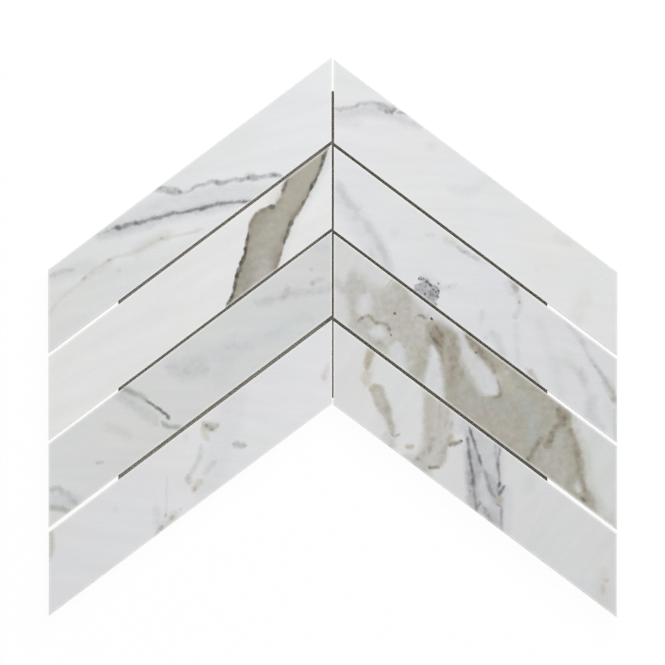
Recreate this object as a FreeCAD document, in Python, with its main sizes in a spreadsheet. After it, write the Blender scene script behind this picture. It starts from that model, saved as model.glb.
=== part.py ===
import FreeCAD, Part
import math
import os

import Sketcher

# Chevron mosaic sheet, lying face up: four rows of marble parallelograms either side of an
# upright spine joint, bonded to one chevron of glass-fibre net that stops short of every edge.
# Millimetres. X runs across the sheet, Y up the spine to the point of the chevron, and Z out of
# the polished faces. The origin is the middle of the sheet's outline, where its back lies.

ROWS = 4  # tiles in each column
LEFT, RIGHT = -1, 1  # which side of the spine a column is on

SIZES = [
    ("tile_length", 190.0, "long edge of a tile, measured down the slope"),
    ("tile_width", 36.0, "between the long edges of a tile, square to them"),
    ("tile_thickness", 9.5, "sawn back to polished face"),
    ("slope_angle", 36.87, "fall of the long edges from the horizontal, degrees"),
    ("arris", 0.3, "eased edge round the polished face"),
    ("spine_joint_1", 1.3, "gap on the spine between the tiles of the top row"),
    ("spine_joint_2", 1.0, "the same in the second row"),
    ("spine_joint_3", 0.9, "the same in the third row"),
    ("spine_joint_4", 0.65, "the same in the bottom row"),
    ("left_joint_1", 1.45, "left column, gap under the top row, square to the slope"),
    ("left_joint_2", 1.35, "left column, gap under the second row"),
    ("left_joint_3", 1.8, "left column, gap under the third row"),
    ("right_joint_1", 1.4, "right column, gap under the top row"),
    ("right_joint_2", 1.4, "right column, gap under the second row"),
    ("right_joint_3", 1.5, "right column, gap under the third row"),
    ("right_drop", 1.15, "how much lower the right column was laid than the left"),
    ("net_side_margin", 37.5, "outer tile ends to the net's upright edges"),
    ("net_top_margin", 18.0, "tip of the left column down the spine to the net"),
    ("net_foot_margin", 3.2, "net up the spine from the left column's foot"),
    ("thread_pitch", 8.0, "net threads, centre to centre both ways"),
    ("thread_width", 1.2, "across one flat thread"),
    ("thread_depth", 0.35, "how far the threads stand out of the adhesive coat"),
    ("coat_thickness", 0.15, "adhesive coat that closes the net's openings"),
]
LEAST_OPENING = 0.15  # an opening cut down to less than this share by the net's edge stays closed

COS = "cos(Sizes.slope_angle * 1deg)"
TAN = "tan(Sizes.slope_angle * 1deg)"
RUN = f"(Sizes.tile_length * {COS})"
DROP = f"({RUN} * {TAN})"
HEIGHT = f"(Sizes.tile_width / {COS})"
BACKING = "(Sizes.thread_depth + Sizes.coat_thickness)"


def joints_above(column, row):
    """Sum of the gaps above a row, measured down the spine."""
    gaps = [f"Sizes.{column}_joint_{n}" for n in range(1, row)]
    return f"(({' + '.join(gaps)}) / {COS})" if gaps else "0"


LEFT_COLUMN = f"({ROWS} * {HEIGHT} + {joints_above('left', ROWS)})"
RIGHT_COLUMN = f"({ROWS} * {HEIGHT} + {joints_above('right', ROWS)})"
TIP = f"(({DROP} + max({LEFT_COLUMN}; Sizes.right_drop + {RIGHT_COLUMN})) / 2)"

NET_HALF = f"({RUN} + Sizes.spine_joint_1 / 2 - Sizes.net_side_margin)"
NET_SPLIT = f"(round({NET_HALF} / 2 / Sizes.thread_pitch) * Sizes.thread_pitch)"
NET_TOP = f"({TIP} - Sizes.net_top_margin)"
NET_HEIGHT = f"({LEFT_COLUMN} - Sizes.net_top_margin - Sizes.net_foot_margin)"


def make_sheet(doc):
    """Driving dimensions, one named cell each."""
    sheet = doc.addObject("Spreadsheet::Sheet", "Sizes")
    for row, (alias, value, note) in enumerate(SIZES, start=1):
        sheet.set(f"A{row}", alias)
        sheet.set(f"B{row}", str(value))
        sheet.set(f"C{row}", note)
        sheet.setAlias(f"B{row}", alias)
    return sheet


def draw_parallelogram(sketch, side, run, drop, height):
    """Upright inner side from the origin down, and an outer one a run away and a drop lower."""
    start = {"run": 150.0, "drop": 110.0, "height": 45.0}
    inner_top = FreeCAD.Vector(0, 0, 0)
    outer_top = FreeCAD.Vector(side * start["run"], -start["drop"], 0)
    down = FreeCAD.Vector(0, -start["height"], 0)
    corners = [inner_top, outer_top, outer_top + down, inner_top + down]
    upper, outer, lower, inner = (
        sketch.addGeometry(Part.LineSegment(corners[n], corners[(n + 1) % 4]), False) for n in range(4)
    )
    first, last = 1, 2
    for one, two in ((upper, outer), (outer, lower), (lower, inner), (inner, upper)):
        sketch.addConstraint(Sketcher.Constraint("Coincident", one, last, two, first))
    sketch.addConstraint(Sketcher.Constraint("Coincident", upper, first, -1, 1))
    sketch.addConstraint(Sketcher.Constraint("Vertical", outer))
    sketch.addConstraint(Sketcher.Constraint("Vertical", inner))
    sketch.addConstraint(Sketcher.Constraint("Parallel", upper, lower))
    ends = (first, last) if side == RIGHT else (last, first)
    sizes = [
        ("run", Sketcher.Constraint("DistanceX", upper, ends[0], upper, ends[1], start["run"]), run),
        ("drop", Sketcher.Constraint("DistanceY", upper, last, upper, first, start["drop"]), drop),
        ("height", Sketcher.Constraint("DistanceY", inner, first, inner, last, start["height"]), height),
    ]
    for name, constraint, expression in sizes:
        index = sketch.addConstraint(constraint)
        sketch.renameConstraint(index, name)
        sketch.setExpression(f"Constraints.{name}", expression)


def place(thing, x, y, z):
    """Binds where a piece lies to the sizes."""
    thing.setExpression("Placement.Base.x", x)
    thing.setExpression("Placement.Base.y", y)
    thing.setExpression("Placement.Base.z", z)


def top_edges(shape):
    """Names of the edges round the highest face of a prism."""
    top = shape.BoundBox.ZMax - 1e-6
    return [f"Edge{n}" for n, edge in enumerate(shape.Edges, start=1) if edge.BoundBox.ZMin > top]


def make_tile(doc, column, side, row):
    """One marble parallelogram: sawn flat, with the arris eased round its polished face."""
    name = f"tile_{column}_{row}"
    body = doc.addObject("PartDesign::Body", name)
    body.Label = name
    plane = next(o for o in body.Origin.OriginFeatures if o.Role == "XY_Plane")
    outline = body.newObject("Sketcher::SketchObject", f"{name}_outline")
    outline.AttachmentSupport = (plane, "")
    outline.MapMode = "FlatFace"
    draw_parallelogram(outline, side, RUN, DROP, HEIGHT)
    slab = body.newObject("PartDesign::Pad", f"{name}_slab")
    slab.Profile = outline
    slab.setExpression("Length", "Sizes.tile_thickness")
    doc.recompute()
    eased = body.newObject("PartDesign::Chamfer", f"{name}_arris")
    eased.Base = (slab, top_edges(slab.Shape))
    eased.setExpression("Size", "Sizes.arris")
    body.Tip = eased
    drop = "Sizes.right_drop" if side == RIGHT else "0"
    top = f"{TIP} - {drop} - {row - 1} * {HEIGHT} - {joints_above(column, row)}"
    place(body, f"{side} * Sizes.spine_joint_{row} / 2", top, BACKING)
    return body


def openings(sheet, outline):
    """Square openings of the net that lie on one outline, as blocks as deep as the threads."""
    pitch, width, depth = sheet.thread_pitch, sheet.thread_width, sheet.thread_depth
    clear = pitch - width
    box = outline.BoundBox
    blocks = []
    for i in range(math.floor(box.XMin / pitch), math.ceil(box.XMax / pitch)):
        for j in range(math.floor(box.YMin / pitch), math.ceil(box.YMax / pitch)):
            corner = FreeCAD.Vector(i * pitch + width / 2, j * pitch + width / 2, 0)
            square = Part.makePlane(clear, clear, corner)
            if square.common(outline).Area > LEAST_OPENING * clear**2:
                below = FreeCAD.Vector(0, 0, -depth)
                blocks.append(Part.makeBox(clear, clear, 2 * depth, corner + below))
    return Part.makeCompound(blocks)


def make_net(doc, sheet, column, strip, side, start, end):
    """One upright strip of the backing: flat threads, fused where they cross, on their adhesive coat."""
    name = f"net_{column}_{strip}"
    outline = doc.addObject("Sketcher::SketchObject", f"{name}_outline")
    draw_parallelogram(outline, side, f"{end} - {start}", f"({end} - {start}) * {TAN}", NET_HEIGHT)
    place(outline, f"{side} * {start}", f"{NET_TOP} - {start} * {TAN}", "0")
    blank = doc.addObject("Part::Extrusion", f"{name}_blank")
    blank.Base = outline
    blank.DirMode = "Custom"
    blank.Dir = FreeCAD.Vector(0, 0, 1)
    blank.Solid = True
    blank.setExpression("LengthFwd", BACKING)
    doc.recompute()
    squares = doc.addObject("Part::Feature", f"{name}_openings")
    squares.Shape = openings(sheet, Part.Face(outline.Shape.Wires[0]))
    net = doc.addObject("Part::Cut", name)
    net.Label = name
    net.Base = blank
    net.Tool = squares
    return net


def check(doc, pieces):
    """Stops on anything that failed to build."""
    for thing in doc.Objects:
        if {"Invalid", "Error"} & set(thing.State):
            raise RuntimeError(f"{thing.Name} did not build: {thing.State}")
    for piece in pieces:
        shape = piece.Shape
        if shape.isNull() or not shape.isValid() or len(shape.Solids) != 1:
            raise RuntimeError(f"{piece.Label} is not one valid solid")


def main():
    doc = FreeCAD.newDocument("chevron_mosaic_sheet")
    sheet = make_sheet(doc)
    doc.recompute()
    pieces = []
    for column, side in (("left", LEFT), ("right", RIGHT)):
        for row in range(1, ROWS + 1):
            pieces.append(make_tile(doc, column, side, row))
        pieces.append(make_net(doc, sheet, column, "inner", side, "0", NET_SPLIT))
        pieces.append(make_net(doc, sheet, column, "outer", side, NET_SPLIT, NET_HALF))
    doc.recompute()
    check(doc, pieces)
    os.makedirs("parts", exist_ok=True)
    for piece in pieces:
        piece.Shape.exportStep(f"parts/{piece.Label}.step")
        size = piece.Shape.BoundBox
        extent = f"{size.XLength:.1f} x {size.YLength:.1f} x {size.ZLength:.2f} mm"
        print(f"{piece.Label}: {piece.Shape.Volume:.0f} mm3, {extent}")


main()
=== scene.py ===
import math
import random

import bpy
import bmesh
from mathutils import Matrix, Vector, noise


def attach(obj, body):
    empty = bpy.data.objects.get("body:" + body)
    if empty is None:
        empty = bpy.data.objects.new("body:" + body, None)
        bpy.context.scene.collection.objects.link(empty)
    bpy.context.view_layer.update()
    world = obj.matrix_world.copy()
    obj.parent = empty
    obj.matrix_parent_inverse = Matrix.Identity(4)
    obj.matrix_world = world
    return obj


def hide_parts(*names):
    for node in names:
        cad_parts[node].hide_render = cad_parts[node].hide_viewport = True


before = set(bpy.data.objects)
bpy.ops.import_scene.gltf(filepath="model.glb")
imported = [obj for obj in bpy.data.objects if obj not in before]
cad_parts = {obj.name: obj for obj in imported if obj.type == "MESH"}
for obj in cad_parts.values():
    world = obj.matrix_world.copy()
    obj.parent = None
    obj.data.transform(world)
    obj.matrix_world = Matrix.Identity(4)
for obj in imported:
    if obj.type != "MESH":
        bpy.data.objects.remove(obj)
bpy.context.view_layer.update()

# Chevron mosaic sheet of polished white marble on a glass-fibre net, lying face up.
# Sizes in the dictionaries are millimetres in the frame's own axes: x across the sheet, y up the
# spine to the point of the chevron, z out of the polished faces.

slope = 0.75  # fall of the long edges for each millimetre out from the spine
sides = {"left": -1, "right": 1}
mm = 0.001  # a millimetre in metres
noiseSpan = (0.3, 0.7)  # most of a noise's levels lie in here

sheetSizes = {
    "tileHeight": 45.0,  # upright ends of a tile
    "tileRun": 152.0,  # across a tile, end to end
    "tileBack": 0.5,  # z of the sawn backs, on the net's coat
    "tileFace": 10.0,  # z of the polished faces
    "spineJoint": {1: 1.3, 2: 1.0, 3: 0.9, 4: 0.65},
    "top": {  # y where each tile's upper edge meets the spine
        "left": {1: 150.2625, 2: 103.45, 3: 56.7625, 4: 9.5125},
        "right": {1: 149.1125, 2: 102.3625, 3: 55.6125, 4: 8.7375},
    },
}


def linear(hexColour):
    parts = [int(hexColour[n:n + 2], 16) / 255 for n in (1, 3, 5)]
    return [c / 12.92 if c <= 0.04045 else ((c + 0.055) / 1.055) ** 2.4 for c in parts] + [1.0]


def addNode(tree, kind, inputs=None, **settings):
    node = tree.nodes.new(kind)
    for name, value in settings.items():
        setattr(node, name, value)
    for socket, value in (inputs or {}).items():
        if isinstance(value, bpy.types.NodeSocket):
            tree.links.new(value, node.inputs[socket])
        else:
            node.inputs[socket].default_value = value
    return node


def newMaterial(name):
    material = bpy.data.materials.new(name)
    material.use_nodes = True
    material.node_tree.nodes.clear()
    return material, material.node_tree


def newPiece(name, bm, materials):
    mesh = bpy.data.meshes.new(name)
    bm.normal_update()
    bm.to_mesh(mesh)
    bm.free()
    piece = bpy.data.objects.new(name, mesh)
    bpy.context.scene.collection.objects.link(piece)
    for material in materials:
        mesh.materials.append(material)
    return piece


# Camera: straight above the sheet from far off, as a long lens sees it.

cameraSizes = {
    "over": (-0.16, 2.52),  # point of the sheet under the lens
    "distance": 10000.0,  # lens to the polished faces
    "frameWidth": 356.7,  # width of the sheet's plane that fills the picture
    "sensor": 36.0,
    "clip": (0.1, 30.0),  # metres
}


def makeCamera():
    data = bpy.data.cameras.new("camera")
    data.sensor_width = cameraSizes["sensor"]
    data.lens = cameraSizes["sensor"] * cameraSizes["distance"] / cameraSizes["frameWidth"]
    data.clip_start, data.clip_end = cameraSizes["clip"]
    camera = bpy.data.objects.new("camera", data)
    x, y = cameraSizes["over"]
    camera.location = Vector((x, y, sheetSizes["tileFace"] + cameraSizes["distance"])) * mm
    bpy.context.scene.collection.objects.link(camera)
    bpy.context.scene.camera = camera


# Floor, world and lamps: white card all round, a soft key from the top right of the picture.

studio = {  # in metres
    "floorWidth": 8.0,
    "floorColour": "#f8f8f8",
    "floorGlow": 0.95,  # share of the floor that is plain white to the camera, the rest takes shadow
    "fill": 0.6,
    "keyPlace": (1.0, 2.0, 2.4),
    "keyWidth": 2.4,
    "keyPower": 68.0,
}


def whiteRays(tree):  # 1 for a ray that meets plain white: from the camera, a mirror or clear glass
    path = addNode(tree, "ShaderNodeLightPath")
    seen = path.outputs["Is Camera Ray"]
    for kind in ("Is Glossy Ray", "Is Transmission Ray"):
        seen = addNode(tree, "ShaderNodeMath", {0: seen, 1: path.outputs[kind]},
                       operation="MAXIMUM").outputs[0]
    return seen


def makeStudio():
    scene = bpy.context.scene
    scene.view_settings.view_transform = "Standard"

    world = bpy.data.worlds.new("whiteRoom")
    world.use_nodes = True
    tree = world.node_tree
    tree.nodes.clear()
    strength = addNode(tree, "ShaderNodeMapRange",
                       {"Value": whiteRays(tree), "To Min": studio["fill"], "To Max": 1.0})
    back = addNode(tree, "ShaderNodeBackground",
                   {"Color": (1, 1, 1, 1), "Strength": strength.outputs[0]})
    addNode(tree, "ShaderNodeOutputWorld", {"Surface": back.outputs[0]})
    scene.world = world

    material, tree = newMaterial("whiteCard")
    share = addNode(tree, "ShaderNodeMath",
                    {0: whiteRays(tree), 1: studio["floorGlow"]}, operation="MULTIPLY")
    card = addNode(tree, "ShaderNodeBsdfDiffuse", {"Color": linear(studio["floorColour"])})
    white = addNode(tree, "ShaderNodeEmission", {"Color": (1, 1, 1, 1), "Strength": 1.0})
    mixed = addNode(tree, "ShaderNodeMixShader",
                    {0: share.outputs[0], 1: card.outputs[0], 2: white.outputs[0]})
    addNode(tree, "ShaderNodeOutputMaterial", {"Surface": mixed.outputs[0]})
    bm = bmesh.new()
    half = studio["floorWidth"] / 2
    corners = ((-half, -half), (half, -half), (half, half), (-half, half))
    bm.faces.new([bm.verts.new((x, y, 0)) for x, y in corners])
    newPiece("floor", bm, [material])

    data = bpy.data.lights.new("key", "AREA")
    data.shape = "SQUARE"
    data.size = studio["keyWidth"]
    data.energy = studio["keyPower"]
    key = bpy.data.objects.new("key", data)
    key.location = studio["keyPlace"]
    key.rotation_euler = (-Vector(studio["keyPlace"])).to_track_quat("-Z", "Y").to_euler()
    scene.collection.objects.link(key)


# Marble: calcite slabs, cut, then ground and polished on the face and left sawn on edges and back.
# The eye gets a white body with soft grey clouds, veins of other minerals that run down into the
# stone, a faint sugar of crystals, and an even soft gloss from the polish.

marble = {
    "slant": (0.35, -0.25),  # sideways run of the veins for each millimetre of depth
    "cloud": 38.0,  # width of a cloud
    "cloudLow": (0.963, 0.968, 0.958),  # what the palest cloud leaves of red, green and blue
    "cloudSwing": (0.07, 0.06, 0.08),  # and how far each goes up from there
    "streak": (46.0, 7.0),  # length and width of the faint streaks of the bed
    "streakLevels": (0.96, 1.02),
    "grain": 1.1,  # crystals are nearer 0.5 mm, drawn coarser so that they show
    "grainLevels": (0.98, 1.02),
    "waver": ((11.0, 0.8), (2.2, 0.4)),  # width and reach of the bends that break a vein's line
    "fray": 1.3,  # width of the tufts on a vein's edge
    "tuft": 1.1,  # their length, in widths of the soft edge
    "core": 0.6,  # a vein has its full tone this many widths of the soft edge in
    "blotch": 3.2,  # length of the dashes that minerals gather in
    "gather": (0.38, 0.6),  # noise levels where they are thinnest and fullest
    "mottle": (0.25, 0.75),  # noise levels of a mineral's light and dark tone
    "paintedEdgeHighlight": 1.6,  # how far in from an edge the face is painted paler: a painted highlight of the lit arris
    "highlightAndChalk": "#f2f1ec",  # pale colour of the chalky sawn sides, also used for the painted edge highlight on the face
    # how much of that pale colour the sawn sides take, and the painted edge highlight at its strongest
    "highlightAndChalkShare": 0.45,
    "facing": (0.2, 0.6),  # upward tilt of a surface that counts as sawn, and as polished
    "polish": 0.22,
    "dullVein": 0.1,  # dark minerals take that much less polish
    "polishTones": (0.1, 0.7),  # brightness that takes the least polish, and the full one
    "sawn": 0.62,
    "sawPitch": 0.9,
    "relief": 0.03,  # depth of the saw marks
    "grainRelief": 0.12,  # depth of the crystals, as a share of that
    "ior": 1.5,
    "blocks": {"left": 0.0, "right": 11.0},  # different blocks, so no two tiles share their clouds
}

# two tones of each mineral, and how far it breaks up along a vein
minerals = {
    "mist": ("#c2c4c7", "#cdcfd1", 0.1),  # graphite cloud round a vein
    "pewter": ("#a9aaae", "#bbbcc0", 0.0),
    "steel": ("#9a9c9d", "#abadae", 0.1),
    "ash": ("#9b9c9e", "#afb0b2", 0.3),
    "slate": ("#5b5c61", "#7b7c80", 0.3),
    "shale": ("#5d5e5b", "#7d7e7a", 0.3),
    "flint": ("#424247", "#5f5f63", 0.35),
    "sage": ("#a3a7a1", "#afb2ab", 0.0),
    "moss": ("#b0b3aa", "#bcbfb7", 0.15),
    "stone": ("#736f67", "#918d84", 0.3),
    "sand": ("#bab4a6", "#c7c2b6", 0.2),
    "tan": ("#aaa28c", "#b8b09e", 0.1),
    "olive": ("#979380", "#aba894", 0.1),
    "taupe": ("#9d9a8c", "#b0ada2", 0.0),
    "khaki": ("#979386", "#a6a295", 0.0),
    "greige": ("#a9a69c", "#bcbab2", 0.0),
    "fog": ("#b1b0a8", "#c5c4bf", 0.0),
    "rose": ("#aba29a", "#bbb4ae", 0.1),
    "pearl": ("#cdced1", "#d4d5d7", 0.0),
    "clay": ("#7c7161", "#938a79", 0.25),
    "umber": ("#403a2c", "#676052", 0.3),
    "soot": ("#2e2a26", "#4a443d", 0.0),
}

# tone at the spine end, tone at the outer end, and the lean of the streaks in degrees
tileTones = {
    ("left", 1): ("#e4e5e7", "#dbdcdc", 17),
    ("left", 2): ("#e4e4e4", "#e1e0df", 30),
    ("left", 3): ("#cfd1d0", "#d4d5d4", 0),
    ("left", 4): ("#dfdfe1", "#dadadb", -8),
    ("right", 1): ("#e2e2e4", "#dddedd", -5),
    ("right", 2): ("#dfe0e2", "#d4d5d7", -5),
    ("right", 3): ("#d1d2d1", "#cfd0d0", 60),
    ("right", 4): ("#d9d9d9", "#d1d2d2", 55),
}

# Veins of each tile, from the lowest layer up: mineral, strength, width of the soft edge, and points
# down the middle. A point is how far out from the tile's spine end, how far down from its upper edge,
# and the vein's half width there: 0 at an end fades it out, and below 0 only its tufts show. A patch
# has two lists of points instead, one down each edge.
veins = {}
veins["left", 1] = [
    ("mist", 0.5, 5, [(30, 48, 2), (45, 39, 4), (60, 30, 5), (75, 22, 5), (90, 14, 4.5), (105, 8, 3),
     (122, 2, 1), (125.3, 0.8, 0)]),
    ("mist", 0.55, 2.5, [(91.9, 19.7, 0), (94, 18.5, 1.2), (100, 15, 2.4), (108, 11, 2.4),
     (116, 7.5, 2), (125, 3.5, 1.4), (127.4, 2.4, 0)]),
    ("moss", 0.14, 8, [(66, 52, 6), (95, 42, 9), (120, 34, 9), (153, 30, 12)]),
    ("mist", 0.5, 3, [(51.3, 41, 0), (53, 40, 0.5), (62, 35, 1.4), (72, 29.5, 1.8), (85, 22.5, 1.8),
     (98, 16, 1.6), (110, 10, 1.2), (122, 5, 0.5), (123.8, 4.2, 0)]),
    ("ash", 0.3, 2.2, [(38, 37, 0), (42, 33, 2.2), (45, 30, 1.6), (48, 27.5, 0)]),
    ("ash", 0.82, 1.1, [(25, 46.5, 0.54), (27, 44, 0.94), (30, 41.3, 1.35), (33, 39, 1.22),
     (36, 37.3, 0.81), (40, 34.8, 1.08), (43, 32.5, 1.62), (46, 31, 0.94), (49, 29.5, 1.08),
     (51, 27.5, 1.22), (53, 26, 0.81), (55, 25, 0.68), (58, 24, 0.94), (61, 21.8, 1.49),
     (63, 19.8, 1.08), (65, 18.5, 0.94), (68, 17.5, 0.68), (72, 15, 0.68), (76, 14.6, 0.54),
     (81, 14.2, 0)]),
    ("slate", 0.8, 0.8, [(28, 42.8, 0), (30.3, 41.1, 0.65), (33, 39.1, 0)]),
    ("slate", 0.4, 0.8, [(59.3, 23.2, 0), (61.3, 21.2, 1.04), (63.6, 19.4, 0)]),
    ("slate", 1, 0.8, [(42.6, 33.4, 0), (44.4, 31.7, 0.94), (46.6, 30.8, 0)]),
    ("ash", 0.85, 1.3, [(78, 13.5, 0), (81, 11.6, 1.03), (84, 9, 1.72), (87, 6.4, 1.84),
     (90, 3.5, 1.61), (94.5, -0.5, 1.38)]),
    ("ash", 0.4, 1.2, [(74, 14.6, 0), (78, 13.9, 0.5), (81, 12.4, 0.6), (83, 10.5, 0)]),
    ("slate", 0.6, 0.8, [(80, 12.4, 0), (81.4, 11.3, 0.7), (83, 9.8, 0)]),
    ("slate", 0.8, 0.9, [(89.5, 3.6, 0), (91.6, 1.4, 0.78), (94, -0.5, 0.65)]),
    ("ash", 0.32, 2.4, [(41, 46, 0.8), (45, 43.7, 1), (53, 38, 1.2), (62, 32.7, 1.5), (70, 28.8, 1.6),
     (78, 24.5, 1.2), (88, 18.9, 1.5), (97, 14.5, 1.4), (105, 10.3, 1.6), (113, 6.7, 1.4),
     (121, 3.5, 1), (129, -1, 0.5)]),
    ("slate", 0.85, 1.1, [(41.5, 46.5, 0.45), (45, 43.7, 0.56), (50, 40, 0.56), (53, 38, 0.56),
     (56, 36.3, 0.5), (60, 34, 0.95), (62, 32.7, 0.68), (65, 31.3, 0.68), (68, 29.8, 1.01),
     (70, 28.8, 1.01), (72, 27.5, 0.68), (75, 26, 0.56), (78, 24.5, 0.5), (82, 22.2, 0.56),
     (85, 20, 0.95), (88, 18.9, 0.68), (92, 17, 0.62), (94, 16, 0.95), (97, 14.5, 0.56),
     (100, 13.3, 0.68), (103, 11.8, 0.79), (105, 10.3, 1.07), (107, 9, 0.68), (111, 7.3, 0.95),
     (113, 6.7, 0.68), (115, 5.2, 1.24), (117, 4, 0.3), (119, 4.1, -0.35), (121, 3.5, -0.3),
     (124, 1.9, -0.3), (129, -1, -0.3)]),
    ("flint", 0.35, 0.6, [(112.4, 6.9, 0), (115, 5.1, 0.83), (117.6, 3.9, 0)]),
    ("flint", 0.6, 0.6, [(102.5, 12.1, 0), (105, 10.2, 0.65), (107.3, 8.9, 0)]),
    ("flint", 0.25, 0.6, [(66.5, 30.7, 0), (69.2, 29.2, 0.65), (71.8, 27.6, 0)]),
    ("flint", 0.72, 0.6, [(83.6, 20.9, 0), (85.4, 19.8, 0.52), (87.6, 19, 0)]),
    ("flint", 0.6, 0.7, [(91.5, 17.3, 0), (94, 16, 0.72), (96.5, 14.8, 0)]),
    ("ash", 0.6, 0.7, [(93.3, 17.5, 0), (93.8, 16.4, 0.3), (94.8, 14, 0.4), (95.8, 11.4, 0)]),
    ("ash", 0.5, 0.7, [(116.4, 5.3, 0), (117, 4.2, 0.3), (118.2, 2, 0.4), (119, -0.2, 0)]),
    ("moss", 0.35, 3, [(80, 32, 0), (89, 29, 2.2), (97, 27, 2.2), (105, 25.3, 1.8), (112, 23, 0)]),
    ("sand", 0.3, 2.6, [(114, 21.5, 0), (120, 20.3, 1.3), (126, 19.8, 1.6), (132, 19.8, 1.2),
     (137, 21.5, 0)]),
    ("sand", 0.4, 1.3, [(65, 43.2, 0), (70, 40, 0.54), (76, 37.5, 0.63), (82, 34.3, 0.54),
     (87, 31.5, 0.81), (91, 29.3, 0.81), (94, 28.5, 0.54), (97, 28, 0.54), (103, 26.3, 0.63),
     (108, 24, 0.63), (113, 21.8, 0.54), (118, 19.8, 0.72), (121, 19.3, 0.63), (127, 18.6, 0.54),
     (132, 19.3, 0.54), (135, 20.3, 0.54), (140, 20, 0.36), (145, 20.6, 0.36), (153, 24.7, 0.36)]),
    ("stone", 0.45, 1, [(116.8, 20.4, 0), (119, 19.3, 0.5), (121.8, 19.3, 0)]),
    ("stone", 0.32, 0.8, [(88, 31, 0), (90.5, 29.5, 0.5), (93.5, 28.6, 0)]),
    ("mist", 0.45, 3.5, [(120, 19, 0), (128, 15, 1.5), (136, 11.5, 2.4), (144, 8.5, 2.2), (153, 5, 2)]),
    ("ash", 0.42, 1.3, [(136, 11, 0), (139, 9.5, 0.6), (142, 8, 0.9), (145, 6.5, 1), (148, 5, 0.9),
     (153, 3, 0.8)]),
    ("ash", 0.28, 1.2, [(111.5, 30, 0), (114, 29, 0.8), (116.5, 28, 0)]),
    ("stone", 0.42, 1.1, [(130, 18.2, 0), (132.5, 19.3, 0.5), (135, 20.2, 0)]),
]
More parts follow.
